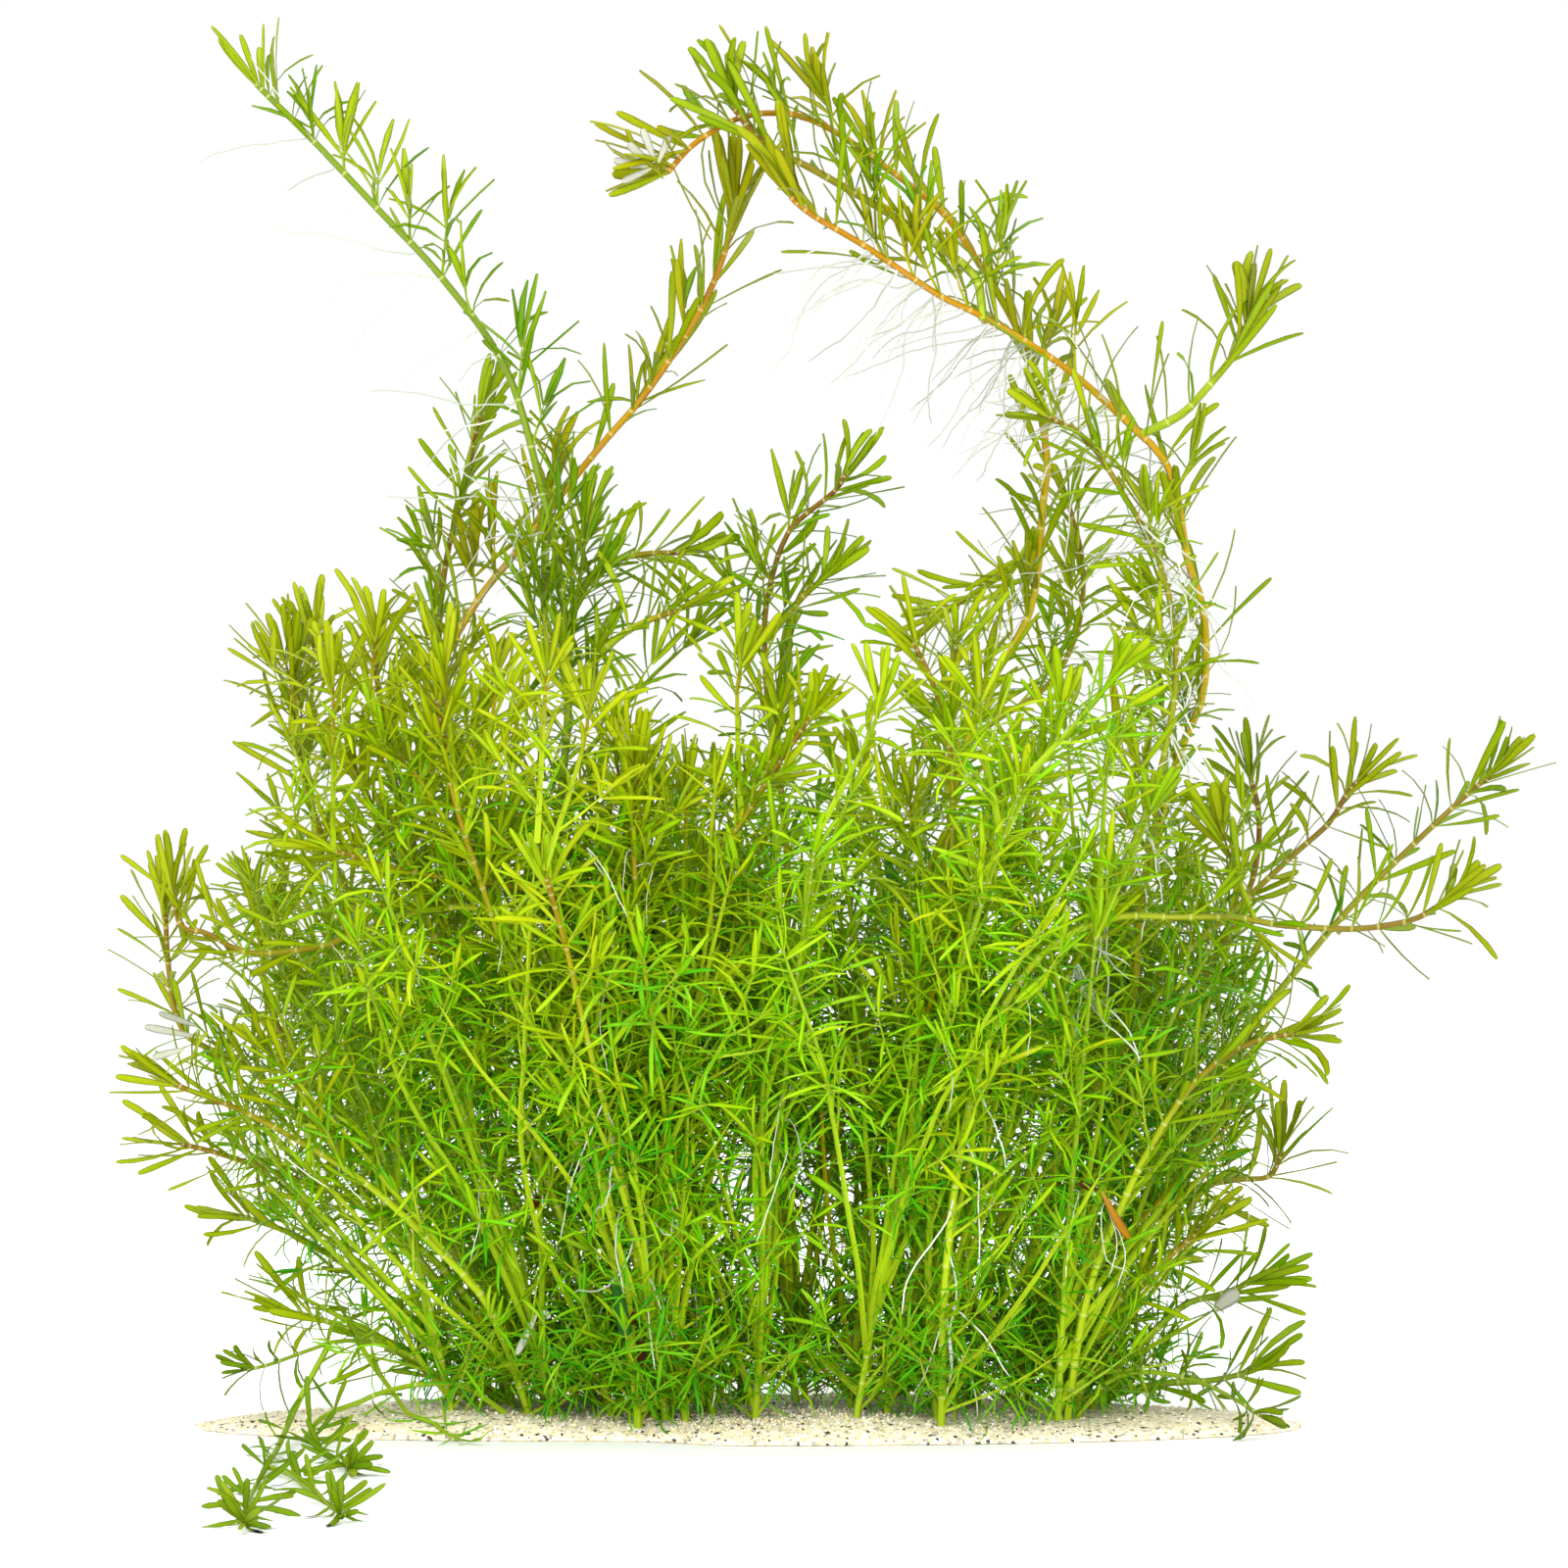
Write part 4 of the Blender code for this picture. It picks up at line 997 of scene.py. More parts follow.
# The leaves, modelled once: their half width along their length, in shares of both, and how
# thick they are for their width
BROAD_OUTLINE = ((0.0, 0.3), (0.2, 0.62), (0.5, 0.9), (0.78, 1.0), (0.94, 0.8), (1.0, 0.4))
NARROW_OUTLINE = ((0.0, 0.45), (0.34, 1.0), (0.7, 0.95), (1.0, 0.34))
BROAD_THICKNESS = 0.2
NARROW_THICKNESS = 0.34
ON_MIDRIB = 1e-4
SHARPEST_SMOOTH = math.radians(60)

# Painted shade: where growth is painted darker (high up, out at the sides, more so on the right,
# and at the foot) and how much darker it is there
OPEN_HEIGHT = (150.0, 235.0)
OPEN_SIDE = (80.0, 125.0)
RIGHT_SHADE = 0.45
FOOT_HEIGHT = (8.0, 50.0)
FOOT_SHADE = 0.7
OPEN_SHADE = 0.73


def deselect():
    """Leaves nothing selected, so that the next operator acts on its own piece."""
    for other in bpy.context.selected_objects:
        other.select_set(False)


def start_editing():
    """Opens the new piece for modelling, with all of it selected, and returns it."""
    bpy.ops.object.mode_set(mode="EDIT")
    bpy.ops.mesh.select_all(action="SELECT")
    return bpy.context.object


def stop_editing():
    """Turns every face outward and closes the piece again."""
    bpy.ops.mesh.select_all(action="SELECT")
    bpy.ops.mesh.normals_make_consistent(inside=False)
    bpy.ops.object.mode_set(mode="OBJECT")


def taken_out(made):
    """The corners and faces of a modelled piece, which is then removed."""
    co = np.array([v.co for v in made.data.vertices])
    faces = [np.array([list(p.vertices) for p in made.data.polygons if len(p.vertices) == sides])
             for sides in (3, 4)]
    bpy.data.objects.remove(made, do_unlink=True)
    return {"co": co, "faces": [rows for rows in faces if len(rows)]}


def model_leaf(outline, thickness):
    """A thin closed blade with a keel under its midrib, drawn out from a three-sided stalk."""
    deselect()
    bpy.ops.mesh.primitive_circle_add(vertices=3, radius=1 / math.sqrt(3), fill_type="NGON")
    blade = start_editing()
    bpy.ops.transform.resize(value=(outline[0][1], -thickness, 1.0))
    for (low, wide), (high, wider) in zip(outline, outline[1:]):
        bpy.ops.mesh.extrude_region_move(TRANSFORM_OT_translate={"value": (0, 0, high - low)})
        bpy.ops.transform.resize(value=(wider / wide, 1.0, 1.0))
    stop_editing()
    leaf = taken_out(blade)
    across = leaf["co"][:, 0]
    leaf["across"] = np.where(np.abs(across) < ON_MIDRIB, 0.0, np.sign(across))
    return leaf


def painted_shade_amount(corners):
    """How much painted shade darkens each corner: 0 inside the clump, 1 high up or out at the
    sides, more than 1 out on the right, and some at the foot.
    """
    x, _, z = corners.T
    above = np.interp(z, OPEN_HEIGHT, (0.0, 1.0))
    beside = np.interp(np.abs(x), OPEN_SIDE, (0.0, 1.0)) * (1.0 + RIGHT_SHADE * (x > 0))
    foot = np.interp(z, FOOT_HEIGHT, (FOOT_SHADE, 0.0))
    return np.maximum.reduce([above, beside, foot])


def joined_mesh(name, parts, materials):
    """One object from many arrays, each with its values by name and its material's place."""
    used = sorted({slot for _, slot in parts})
    faces, slots, offset = [], [], 0
    for part, slot in parts:
        for rows in part["faces"]:
            faces.append(rows + offset)
            slots.append(np.full(len(rows), used.index(slot)))
        offset += len(part["co"])
    corners = np.concatenate([part["co"] for part, _ in parts])
    totals = np.concatenate([np.full(len(rows), rows.shape[1]) for rows in faces])
    mesh = bpy.data.meshes.new(name)
    mesh.vertices.add(offset)
    mesh.vertices.foreach_set("co", (corners * MM).ravel())
    mesh.loops.add(int(totals.sum()))
    mesh.loops.foreach_set("vertex_index", np.concatenate([rows.ravel() for rows in faces]))
    mesh.polygons.add(len(totals))
    mesh.polygons.foreach_set("loop_start", np.cumsum(totals) - totals)
    mesh.polygons.foreach_set("loop_total", totals)
    mesh.polygons.foreach_set("material_index", np.concatenate(slots))
    values = {key: np.concatenate([part.get(key, np.zeros(len(part["co"]))) for part, _ in parts])
              for key in ("tone", "along", "across", "ring")}
    # The open attribute carries painted shade: darker high up, at the sides, more so on the right,
    # and at the foot
    values["open"] = painted_shade_amount(corners)
    for key, row in values.items():
        made = mesh.attributes.new(key, "FLOAT", "POINT")
        made.data.foreach_set("value", row.astype(np.float32))
    mesh.update(calc_edges=True)
    for slot in used:
        mesh.materials.append(materials[slot])
    mesh.shade_smooth()
    mesh.set_sharp_from_angle(angle=SHARPEST_SMOOTH)
    return linked(bpy.data.objects.new(name, mesh))


def linked(made):
    """Brings a new object into the scene."""
    bpy.context.scene.collection.objects.link(made)
    return made


def linear(code):
    """A colour's sRGB hex value as the linear numbers that Blender's sockets take."""
    parts = [int(code[i:i + 2], 16) / 255 for i in (1, 3, 5)]
    return (*[p / 12.92 if p <= 0.04045 else ((p + 0.055) / 1.055) ** 2.4 for p in parts], 1.0)


def add(tree, kind, inputs, output=0, stops=(), **settings):
    """Adds a node and returns one output. An input is a value, or the socket to link from."""
    made = tree.nodes.new("ShaderNode" + kind)
    for key, value in settings.items():
        setattr(made, key, value)
    for i, (place, code) in enumerate(stops):
        elements = made.color_ramp.elements
        stop = elements[i] if i < len(elements) else elements.new(place)
        stop.position, stop.color = place, linear(code)
    for key, value in inputs.items():
        if isinstance(value, bpy.types.NodeSocket):
            tree.links.new(value, made.inputs[key])
        else:
            made.inputs[key].default_value = value
    return made.outputs[output] if made.outputs else None


def new_material(name, surface, *about):
    """A node material, with the surface that a function makes in its tree."""
    made = bpy.data.materials.new(name)
    made.use_nodes = True
    tree = made.node_tree
    tree.nodes.clear()
    add(tree, "OutputMaterial", {"Surface": surface(tree, *about)})
    return made


def mottled(tree, stops, patch, detail, swing):
    """The colour at the growth's tone, a little up or down in soft patches of this width."""
    place = add(tree, "TexCoord", {}, "Object")
    patches = add(tree, "TexNoise", {"Vector": place, "Scale": 1 / (patch * MM),
                                     "Detail": detail}, "Fac")
    shifted = add(tree, "Math", {0: patches, 1: swing, 2: -0.5 * swing}, operation="MULTIPLY_ADD")
    tone = add(tree, "Attribute", {}, "Fac", attribute_name="tone")
    level = add(tree, "Math", {0: tone, 1: shifted})
    return add(tree, "ValToRGB", {"Fac": level}, stops=stops)


def painted_shade_scale(tree):
    """Painted shade: scales a colour darker where the open attribute is high, down to OPEN_SHADE
    at 1.
    """
    out = add(tree, "Attribute", {}, "Fac", attribute_name="open")
    return add(tree, "MapRange", {"Value": out, "To Min": 1.0, "To Max": OPEN_SHADE}, clamp=False)


def leaf_surface(tree, stops):
    """A thin submerged leaf: satin, with no hard cuticle, so light shines through it. Its
    margins are painted darker, a painted shade of blades seen edge-on, and its stalk is pale."""
    colour = mottled(tree, stops, LEAF_PATCH, detail=2.0, swing=0.24)
    across = add(tree, "Attribute", {}, "Fac", attribute_name="across")
    margin = add(tree, "Math", {0: across}, operation="ABSOLUTE")
    # Painted shade: the margins are painted darker, down to 0.4, as blades look when seen edge-on
    edge = add(tree, "MapRange", {"Value": margin, "From Min": 0.5, "From Max": 1.0,
                                  "To Min": 1.0, "To Max": 0.4})
    # Painted shade from the open attribute, times the painted shade of the margins
    depth = add(tree, "Math", {0: edge, 1: painted_shade_scale(tree)}, operation="MULTIPLY")
    shaded = add(tree, "VectorMath", {0: colour, "Scale": depth}, operation="SCALE")
    along = add(tree, "Attribute", {}, "Fac", attribute_name="along")
    stalk = add(tree, "MapRange", {"Value": along, "From Min": 0.0, "From Max": 0.16,
                                   "To Min": 0.45, "To Max": 0.0})
    pale = add(tree, "Mix", {"Factor": stalk, 6: shaded, 7: linear(STALK_COLOUR)}, 2,
               data_type="RGBA")
    skin = add(tree, "BsdfPrincipled", {"Base Color": pale, "Roughness": 0.42, "IOR": 1.4,
                                        "Specular IOR Level": 0.16})
    lighter = add(tree, "Gamma", {"Color": pale, "Gamma": 0.55})
    through = add(tree, "BsdfTranslucent", {"Color": lighter})
    return add(tree, "MixShader", {"Fac": 0.3, 1: skin, 2: through})


def stem_surface(tree, stops):
    """A smooth fleshy stem, moist enough for a soft gloss, with a pale ring at every node."""
    colour = mottled(tree, stops, STEM_PATCH, detail=3.0, swing=0.3)
    # Painted shade from the open attribute darkens the stem's colour
    shaded = add(tree, "VectorMath", {0: colour, "Scale": painted_shade_scale(tree)}, operation="SCALE")
    ring = add(tree, "Attribute", {}, "Fac", attribute_name="ring")
    marked = add(tree, "Math", {0: ring, 1: 0.45}, operation="MULTIPLY")
    pale = add(tree, "Mix", {"Factor": marked, 6: shaded, 7: linear(NODE_COLOUR)}, 2,
               data_type="RGBA")
    return add(tree, "BsdfPrincipled", {"Base Color": pale, "Roughness": 0.42, "IOR": 1.4,
                                        "Specular IOR Level": 0.25})


def root_surface(tree):
    """Water roots: threads of clear white tissue, dull and nearly colourless."""
    tone = add(tree, "Attribute", {}, "Fac", attribute_name="tone")
    colour = add(tree, "ValToRGB", {"Fac": tone}, stops=ROOT_STOPS)
    return add(tree, "BsdfPrincipled", {"Base Color": colour, "Roughness": 0.5})


def sand_surface(tree, by_grain):
    """Washed quartz sand: cream grains, some white, some grey and a few black ones. The loose
    grains have a tone each, and the patch below them shows cells of a grain's size."""
    if by_grain:
        source = add(tree, "Attribute", {}, "Fac", attribute_name="tone")
    else:
        place = add(tree, "TexCoord", {}, "Object")
        cells = add(tree, "TexVoronoi", {"Vector": place, "Scale": 1 / (CELL_WIDTH * MM)}, "Color")
        source = add(tree, "SeparateColor", {"Color": cells})
    colour = add(tree, "ValToRGB", {"Fac": source}, stops=GRAIN_STOPS)
    colour.node.color_ramp.interpolation = "CONSTANT"
    return add(tree, "BsdfPrincipled", {"Base Color": colour, "Roughness": 0.7})


def floor_surface(tree):
    """Matt white paint: it scatters all light, so it shows no gloss and no colour."""
    return add(tree, "BsdfDiffuse", {"Color": linear("#FFFFFF")})


# The width of the patterns: the soft patches on leaves and stems, and a grain of the patch
LEAF_PATCH = 6.25
STEM_PATCH = 11.111
CELL_WIDTH = 0.9091

STALK_COLOUR = "#B9C850"
NODE_COLOUR = "#D8D890"
GRAIN_STOPS = ((0.0, "#F0E4C6"), (0.34, "#F8F2E2"), (0.55, "#E6D6B0"), (0.72, "#EEDFA8"),
               (0.82, "#C8BCA4"), (0.9, "#A89C8A"), (0.955, "#3A342C"))
ROOT_STOPS = ((0.0, "#DADCCE"), (0.5, "#C2C6B6"), (1.0, "#A6AC9C"))

# Leaf and stem colours by the record's material slot. Leaves run from deep green to
# yellow-green, stems from foot to tip.
LEAVES = {
    "green_shoot": ((0.0, "#48B40C"), (0.3, "#7CCE0A"), (0.55, "#A0D60A"), (0.8, "#ACD20A"),
                    (1.0, "#BED40E")),
    "lime_shoot": ((0.0, "#4AB00A"), (0.3, "#7CC80A"), (0.55, "#A2D00A"), (0.8, "#B0CE0A"),
                   (1.0, "#C0D00E")),
    "orange_shoot": ((0.0, "#5CA806"), (0.4, "#90C008"), (0.7, "#AAC408"), (1.0, "#C4C60C")),
    "brown_shoot": ((0.0, "#50AC06"), (0.4, "#7CC008"), (0.7, "#98C60A"), (1.0, "#AECA0E")),
    "lone": ((0.0, "#4C9A0C"), (0.55, "#7CB00C"), (0.85, "#98C010"), (1.0, "#B8D010")),
    "creeping": ((0.0, "#5C900C"), (0.5, "#84A80E"), (1.0, "#A0B814")),
}
OWN_LEAVES = {"lone": "lone", "trailing": "creeping"}
OLD_LEAF = ((0.0, "#1E5C0E"), (0.12, "#2A6E12"), (0.3, "#4A9A1A"), (0.42, "#DADEC4"),
            (0.62, "#ECECDC"), (0.7, "#C8941E"), (0.88, "#B87418"), (1.0, "#5E2C10"))
STEMS = {
    "green_shoot": ((0.0, "#A6C416"), (0.6, "#90B014"), (1.0, "#7E9A16")),
    "lime_shoot": ((0.0, "#ACC816"), (0.6, "#A6BA14"), (0.85, "#A08E12"), (1.0, "#8C6A10")),
    "orange_shoot": ((0.0, "#AEC816"), (0.45, "#C8B80C"), (0.7, "#D2A406"), (1.0, "#BC8004")),
    "brown_shoot": ((0.0, "#AAC616"), (0.5, "#A6A814"), (1.0, "#86560E")),
}
STEM_TONES = (0.0, 1.0)
PLAIN_STEM_TONES = (0.5, 1.2)
LEAF_SLOT, BARK_SLOT, ROOT_SLOT, OLD_SLOT = range(4)

# White water roots: the stem that bears them, from and to as shares of its length, how many,
# their least and greatest length, and where they drift
ROOTS = (
    ("long_left_stem", 0.42, 0.94, 30, (14, 46), (-0.9, -0.1, -0.4)),
    ("orange_arch_stem", 0.75, 0.93, 60, (16, 46), (-0.8, 0.0, -0.6)),
    ("orange_arch_stem", 0.5, 0.74, 44, (16, 48), (-0.9, -0.2, -0.3)),
    ("high_arch_stem", 0.35, 0.6, 24, (12, 38), (-0.6, 0.1, -0.6)),
    ("pale_inner_stem", 0.4, 0.85, 50, (12, 40), (0.4, -0.3, -0.7)),
    ("lime_mid_stem", 0.15, 0.6, 8, (14, 44), (0.0, -0.3, -1.0)),
    ("star_tip_stem", 0.2, 0.6, 8, (14, 40), (0.0, -0.3, -1.0)),
    ("left_flat_a", 0.1, 0.5, 8, (14, 40), (0.1, -0.3, -1.0)),
    ("right_flat_stem", 0.1, 0.5, 8, (14, 40), (-0.1, -0.3, -1.0)),
)

# The roots that stand out against the leaves, as (x, z) in the front view
THREADS = (
    ((-75, 226), (-67, 219.5), (-60, 213)),
    ((-63, 227), (-57, 224), (-51, 225)),
    ((-41.5, 148), (-36.5, 141.5), (-31, 130)),
    ((-31, 146.5), (-32, 138), (-32, 130)),
    ((-24.5, 143.5), (-26, 136.5), (-26, 128)),
    ((-19, 142), (-16, 135), (-17, 128)),
    ((-63, 136.5), (-61, 132), (-59, 125.5)),
    ((-57, 136.5), (-55, 132), (-52, 126.5)),
    ((-106, 122.5), (-103, 119), (-101, 115)),
    ((-88, 122), (-85, 117), (-84, 112.5)),
    ((-71, 125), (-72, 120.5), (-73, 115.5)),
    ((-62.5, 127), (-63, 122), (-64, 116)),
    ((-52, 126.5), (-50, 124), (-48.5, 119.5)),
    ((-120.5, 71.5), (-114, 65.5), (-107, 61)),
    ((-104.5, 65), (-102, 61.5), (-98, 56.5)),
    ((-69, 61), (-68.5, 54), (-71, 42)),
    ((8.5, 84), (6, 69.5), (5.5, 62.5)),
    ((10, 72), (7, 61), (2, 47)),
    ((11, 78), (13.5, 69.5), (12, 63), (10, 58)),
    ((-5.5, 70), (-6, 64.5), (-7, 59)),
    ((25, 52), (24, 47), (23, 42)),
    ((84.5, 60), (82, 50.5), (81, 38)),
    ((88, 57), (84.5, 50.5), (83, 42)),
    ((128.5, 61), (127, 50.5), (125, 34.5), (124, 26.5)),
    ((-26, 32), (-25, 23), (-24, 14.5)),
    ((87.5, 211), (91, 207), (92.5, 202.5)),
    ((100, 213), (97, 208), (94.5, 202)),
    ((90.5, 195), (90, 189), (84, 182.5), (80, 176)),
    ((113, 179.5), (99, 179.5), (84, 180)),
    ((116, 191), (110, 181), (103.5, 170.5)),
    ((107, 170), (97, 163.5), (88, 151)),
    ((83, 202), (71, 201), (62.5, 202), (59, 205)),
    ((97, 200), (101, 192), (101, 184)),
    ((91, 58), (94, 47), (92, 38)),
    ((91, 57.5), (96, 44.5), (94, 35.5)),
    ((90, 57), (91, 43), (97, 39.5)),
    ((-9, 112), (-11, 102), (-10, 92)),
    ((-36, 114.5), (-38, 102), (-36, 90.5)),
    ((49, 99.5), (52, 89.5), (51, 79.5)),
    ((69, 114.5), (72, 104.5), (71, 94.5)),
    ((29, 112), (32, 102), (30, 92)),
)

# Single leaves that stand out, by kind: from and to as (x, z) in the front view, then the
# width and how much they curl
ODD_LEAVES = (
    ("dark", -34.5, 38, -31, 23, 3.6, 0),
    ("decayed", -29, 29.5, -30, 25.5, 2.2, 0.2),
    ("decayed", -27.5, 22.5, -27, 15, 2.4, 0.3),
    ("decayed", -53.5, 59, -55.5, 55, 2.4, 0.2),
    ("bleached", -54, 29, -59.5, 18, 2, 0.3),
    ("bleached", -53, 29.5, -50, 28, 2, 0.2),
    ("lime", -18, 83.5, -32, 84.5, 2, -0.4),
    ("lime", -17, 83.5, -8, 84, 1.9, -0.3),
    ("lime", -19, 91, -20, 99.5, 2.4, 0.2),
    ("lime", -19, 91, -17, 98, 2.4, -0.2),
    ("lime", -19, 92, -22, 90, 2.2, 0.5),
    ("decayed", 89, 60, 84, 62.5, 1.8, 0.1),
    ("dead", 90, 60, 97, 45.5, 2.3, 0.8),
    ("bleached", -141, 99.5, -154, 102.5, 2.2, -0.5),
    ("bleached", -144, 96.5, -153, 94, 2, 0.4),
    ("bleached", -140, 102, -151, 106, 1.8, 0.3),
    ("bleached", 119, 30, 125, 35, 4.2, 0.1),
    ("bleached", -25.5, 322.5, -31, 327.5, 2.4, 0.1),
    ("bleached", -26, 321.5, -35, 323, 2.2, 0.2),
    ("bleached", -24, 323, -27, 331, 2.2, -0.2),
    ("bleached", -25, 321, -33, 317, 2, 0.3),
    ("bleached", -23, 322.5, -20, 330, 2, 0.2),
    ("broad", 30, 69.5, 35, 58, 2.6, 0.2),
    ("broad", 35, 145, 38, 136, 3.4, 0.1),
)
ODD_KINDS = {
    "dark": (OLD_SLOT, 0.08), "broad": (OLD_SLOT, 0.27), "bleached": (OLD_SLOT, 0.52),
    "dead": (OLD_SLOT, 0.8), "decayed": (OLD_SLOT, 1.05), "lime": (LEAF_SLOT, 0.65),
}

# The roots' girth at foot and tip, how they bend, how far apart their rings of corners are and
# how much they vary. The threads of the table hang before the stems.
ROOT_GIRTH = (0.28, 0.19)
ROOT_SIDES = 3
ROOT_STEP = 2.5
ROOT_BEND = Bend(lift=-0.03, wander=0.14, step=2.5)
DRIFT_NOISE = 0.45
THREAD_GIRTH = (0.18, 0.14)
THREAD_LEAD = 5.0
THREAD_DEPTH_COUNTS = 0.04
THREAD_SWAY = 0.12
THREAD_TONE = 0.4

# The odd leaves stand before their stem, on a stalk
ODD_LEAD = 6.0
ODD_TIP_LEAD = 9.0
ROLL_BY_CURL = 0.3
STALK_GIRTH = (0.3, 0.22)
STALK_STEP = 4.0
STALK_TONES = (0.2, 0.4)
LEAF_ABOVE_SAND = 0.15


def water_roots(route, start, end, count, lengths, drift, rng):
    """Thin wavy roots that hang from points along a stem."""
    stem = Shoot(route)
    for _ in range(count):
        point = stem.at(rng.uniform(start, end) * stem.length)[0]
        length = rng.uniform(*lengths)
        heading = np.array(drift) + rng.normal(0.0, DRIFT_NOISE, 3)
        path = curved_route(point, heading, length, ROOT_BEND, rng)
        yield thread(path, ROOT_GIRTH, rng.uniform(0, 1))


def thread(path, girth, tone):
    """The skin of one root, with one tone over its length."""
    return plain_skin(Shoot(path), girth, ROOT_SIDES, ROOT_STEP, (tone, tone))


def hanging_threads(routes, rng):
    """The roots of the table, each from the stem that passes closest to its start."""
    hung = {name: [] for name in routes}
    for seen in THREADS:
        name, start = nearest_stem(routes, np.array(seen[0]), 0.0, THREAD_DEPTH_COUNTS)
        points = [start] + [line_of_sight(x, z, start[1] - THREAD_LEAD * (i + 1))
                            for i, (x, z) in enumerate(seen)]
        path = smooth_route(points)
        path[1:] += rng.normal(0.0, THREAD_SWAY, path[1:].shape)
        hung[name].append(thread(path, THREAD_GIRTH, rng.uniform(0, THREAD_TONE)))
    return hung


def odd_leaves(routes, leaf):
    """The leaves of the table, each on a short stalk from the closest stem."""
    grown = {name: [] for name in routes}
    for kind, x, z, to_x, to_z, width, curl in ODD_LEAVES:
        name, start = nearest_stem(routes, np.array([x, z]), 0.0)
        base = line_of_sight(x, z, start[1] - ODD_LEAD)
        tip = line_of_sight(to_x, to_z, start[1] - ODD_TIP_LEAD)
        slot, tone = ODD_KINDS[kind]
        stalk = Shoot(smooth_route([start, 0.5 * (start + base) + UP, base]))
        skin = plain_skin(stalk, STALK_GIRTH, ROOT_SIDES, STALK_STEP, STALK_TONES)
        values = {"base": base, "heading": unit(tip - base), "face": FRONT,
                  "length": np.linalg.norm(tip - base), "width": width, "bend": curl,
                  "tone": tone, "twist": curl, "roll": ROLL_BY_CURL * curl}
        rows = {key: np.array([value], dtype=float) for key, value in values.items()}
        grown[name] += [(skin, BARK_SLOT), (blades(leaf, rows), slot)]
    return grown


def habit_of(name):
    """The name of a stem's habit."""
    return next((kind for starts, kind in NAMED_HABITS if name.startswith(starts)), "middle")


def lift_leaves(parts):
    """Raises leaves and roots that would sink into the sand or the surface round it."""
    for part, slot in parts:
        if slot != BARK_SLOT:
            x, y, z = part["co"].T
            part["co"][:, 2] = np.maximum(z, sand_height(x, y) + LEAF_ABOVE_SAND)


def grow_plant():
    """One piece for every stem, in place of its node."""
    broad = model_leaf(BROAD_OUTLINE, BROAD_THICKNESS)
    narrow = model_leaf(NARROW_OUTLINE, NARROW_THICKNESS)
    leaves = {key: new_material(key + "_leaf", leaf_surface, stops)
              for key, stops in LEAVES.items()}
    stems = {key: new_material(key + "_stem", stem_surface, stops)
             for key, stops in STEMS.items()}
    white = new_material("water_root_white", root_surface)
    old = new_material("old_leaf", leaf_surface, OLD_LEAF)
    groups = {row["node"]: row["material_slot"] for row in frame["record"]["subparts"]}
    routes = place_all()
    rng = np.random.default_rng(SEED)
    crowns = crown_routes(routes, rng)
    threads = hanging_threads(routes, rng)
    odd = odd_leaves(routes, broad)
    for number, (name, route) in enumerate(routes.items()):
        rng = np.random.default_rng(SEED + number)
        kind, group = habit_of(name), groups[name]
        if is_rooted(name):
            route = np.concatenate([[route[0] - UP * BELOW_SAND], route])
        left_out = BARE_TIP_LEFT_OUT if name.startswith(BARE_TIPS) else TIP_LEFT_OUT
        skins, broad_rows, narrow_rows = leafy_parts(
            cut_back(route, left_out), is_rooted(name), crowns[name], HABITS[kind], rng,
            PLAIN_STEM_TONES if kind in OWN_LEAVES else STEM_TONES)
        parts = [(skin, BARK_SLOT) for skin in skins]
        parts.append((blades(broad, broad_rows), LEAF_SLOT))
        if narrow_rows is not None:
            parts.append((blades(narrow, narrow_rows), LEAF_SLOT))
        for carrier, *about in ROOTS:
            if carrier == name:
                parts += [(skin, ROOT_SLOT) for skin in water_roots(route, *about, rng)]
        parts += [(skin, ROOT_SLOT) for skin in threads[name]] + odd[name]
        lift_leaves(parts)
        blade = leaves[OWN_LEAVES.get(kind, group)]
        bark = stems["green_shoot" if kind == "lone" else group]
        piece = joined_mesh("leafy_" + name, parts, [blade, bark, white, old])
        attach(piece, "root")
        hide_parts(name)


# The patch's spokes, how many insets it has and how wide each is, beside a radius of 1
SAND_SPOKES = 120
SAND_INSETS = 22
INSET = 0.0435
SAND_EDGE = 0.999

# The loose grains: their size, how uneven and how flat they are and how high they lie, beside
# their size
GRAIN_COUNT = 3400
GRAIN_SIZES = (0.55, 1.1)
GRAIN_ROUGHNESS = 0.16
GRAIN_SHAPE = (1.0, 0.85, 0.7)
GRAIN_LIFT = 0.15
GRAIN_SEED = 5


def model_sand():
    """The sand patch: a disc with many insets, laid over the low mound."""
    deselect()
    bpy.ops.mesh.primitive_circle_add(vertices=SAND_SPOKES, radius=1.0, fill_type="NGON")
    patch = start_editing()
    bpy.ops.mesh.extrude_region_move(TRANSFORM_OT_translate={"value": (0, 0, 1.0)})
    for _ in range(SAND_INSETS):
        bpy.ops.mesh.inset(thickness=INSET)
    bpy.ops.mesh.poke()
    stop_editing()
    for v in patch.data.vertices:
        out = min(1.0, math.hypot(v.co.x, v.co.y))
        angle = math.atan2(v.co.y, v.co.x)
        reach = out * sand_reach(angle)
        x, y = reach * math.cos(angle), reach * math.sin(angle)
        top = SAND_RIM if out > SAND_EDGE else sand_height(x, y)
        v.co = Vector((x, y, top if v.co.z > 0.5 else 0.0)) * MM
    patch.name = patch.data.name = "sand_patch"
    patch.data.materials.append(new_material("washed_sand_bed", sand_surface, False))
    bpy.ops.object.shade_smooth()
    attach(patch, "root")
    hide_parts("sand_bed")


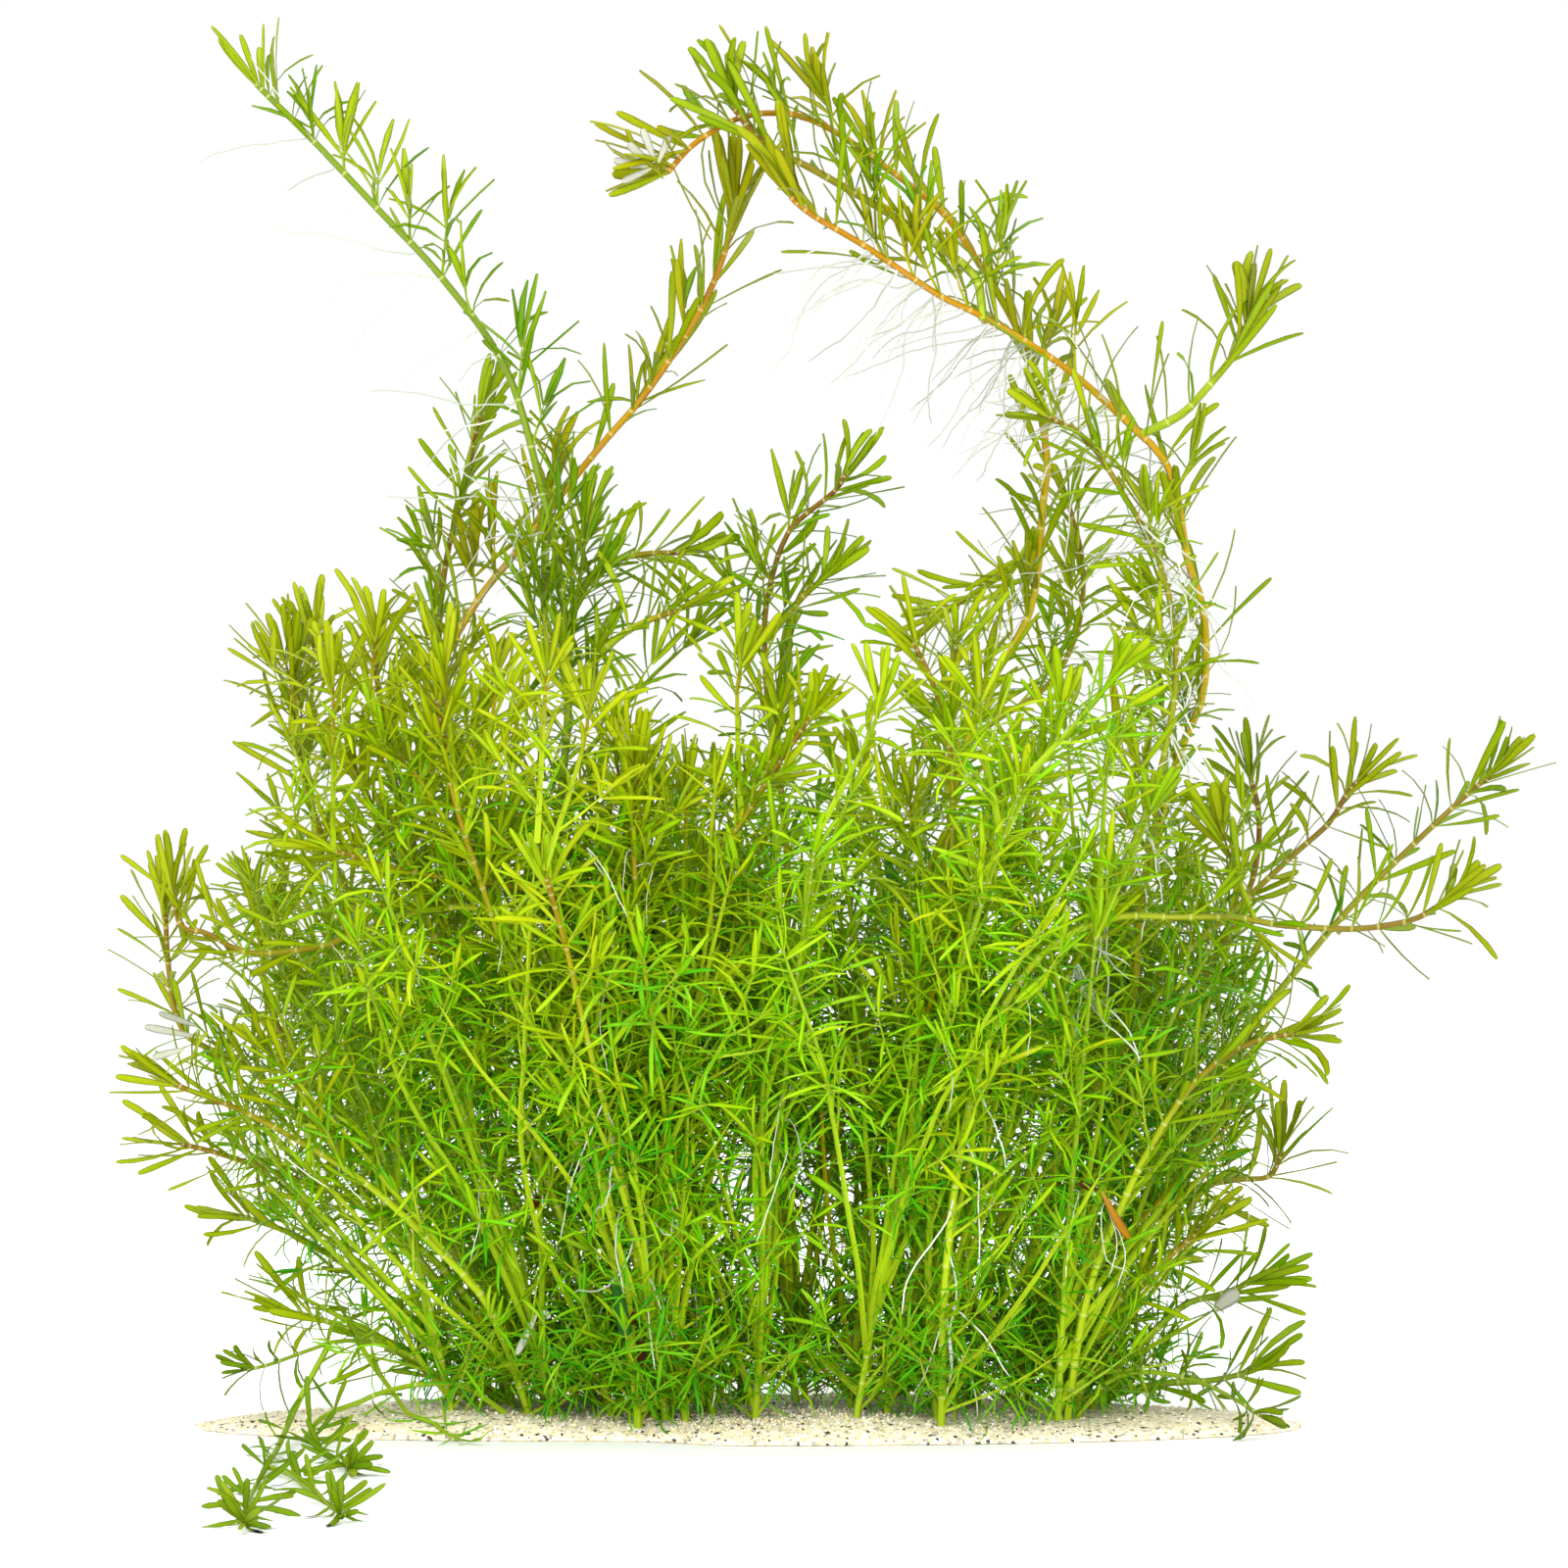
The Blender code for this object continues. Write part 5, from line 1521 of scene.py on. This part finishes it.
def scatter_grains():
    """Loose grains that lie all over the sand."""
    deselect()
    bpy.ops.mesh.primitive_ico_sphere_add(subdivisions=1, radius=0.5)
    made = start_editing()
    bpy.ops.transform.vertex_random(offset=GRAIN_ROUGHNESS, seed=GRAIN_SEED)
    bpy.ops.transform.resize(value=GRAIN_SHAPE)
    stop_editing()
    grain = taken_out(made)
    rng = np.random.default_rng(SEED)
    angle = rng.uniform(0, TURN, GRAIN_COUNT)
    reach = sand_reach(angle) * np.sqrt(rng.uniform(0, 1.0, GRAIN_COUNT))
    size = rng.uniform(*GRAIN_SIZES, GRAIN_COUNT)
    turn = rng.uniform(0, TURN, (GRAIN_COUNT, 2))
    x, y, z = (size[:, None] * row for row in grain["co"].T)
    y, z = turned(y, z, -turn[:, 1:])
    x, y = turned(x, y, -turn[:, :1])
    at_x, at_y = reach * np.cos(angle), reach * np.sin(angle)
    at_z = sand_height(at_x, at_y) + GRAIN_LIFT * size
    corners = np.stack([x + at_x[:, None], y + at_y[:, None],
                        np.maximum(z + at_z[:, None], 0.0)], axis=-1)
    each = len(grain["co"])
    faces = grain["faces"][0][None] + (np.arange(GRAIN_COUNT) * each)[:, None, None]
    part = {"co": corners.reshape(-1, 3), "faces": [faces.reshape(-1, 3)],
            "tone": np.repeat(rng.uniform(0, 1, GRAIN_COUNT), each)}
    material = new_material("washed_sand_grain", sand_surface, True)
    piece = joined_mesh("sand_grains", [(part, 0)], [material])
    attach(piece, "root")


# The stage, in metres: the floor, then the lights by name with their place, size and power
FLOOR_RADIUS = 12.0
FLOOR_CORNERS = 96
FLOOR_DROP = 0.0002
LIT_MIDDLE = Vector((0.0, 0.0, 0.17))
LIGHTS = (
    ("key", (-0.9, -1.5, 1.5), 1.0, 25.0),
    ("top", (0.4, 0.5, 1.9), 1.2, 14.0),
    ("fill", (0.5, -2.2, 0.5), 1.6, 38.0),
)


def area_light(name, place, size, power):
    """A square soft light that faces the middle of the clump."""
    data = bpy.data.lights.new(name, "AREA")
    data.shape, data.size, data.energy = "SQUARE", size, power
    lamp = linked(bpy.data.objects.new(name, data))
    lamp.location = place
    lamp.rotation_euler = (LIT_MIDDLE - Vector(place)).to_track_quat("-Z", "Y").to_euler()


def set_stage():
    """A plain pale floor, a white surround, soft lights and the camera."""
    deselect()
    bpy.ops.mesh.primitive_circle_add(vertices=FLOOR_CORNERS, radius=FLOOR_RADIUS,
                                      fill_type="NGON", location=(0, 0, -FLOOR_DROP))
    floor = bpy.context.object
    floor.name = "floor"
    floor.data.materials.append(new_material("matt_white_floor", floor_surface))
    world = bpy.data.worlds.new("white_surround")
    world.use_nodes = True
    surround = world.node_tree.nodes["Background"].inputs
    surround["Color"].default_value = (1, 1, 1, 1)
    surround["Strength"].default_value = 1.0
    bpy.context.scene.world = world
    bpy.context.scene.view_settings.view_transform = "Standard"
    for light in LIGHTS:
        area_light(*light)
    data = bpy.data.cameras.new("camera")
    data.sensor_width = SENSOR_WIDTH
    data.lens = SENSOR_WIDTH * EYE_DISTANCE / VIEW_WIDTH
    camera = linked(bpy.data.objects.new("camera", data))
    camera.location = (EYE_X * MM, -EYE_DISTANCE * MM, EYE_Z * MM)
    camera.rotation_euler = (math.pi / 2, 0, 0)
    bpy.context.scene.camera = camera


set_stage()
grow_plant()
model_sand()
scatter_grains()
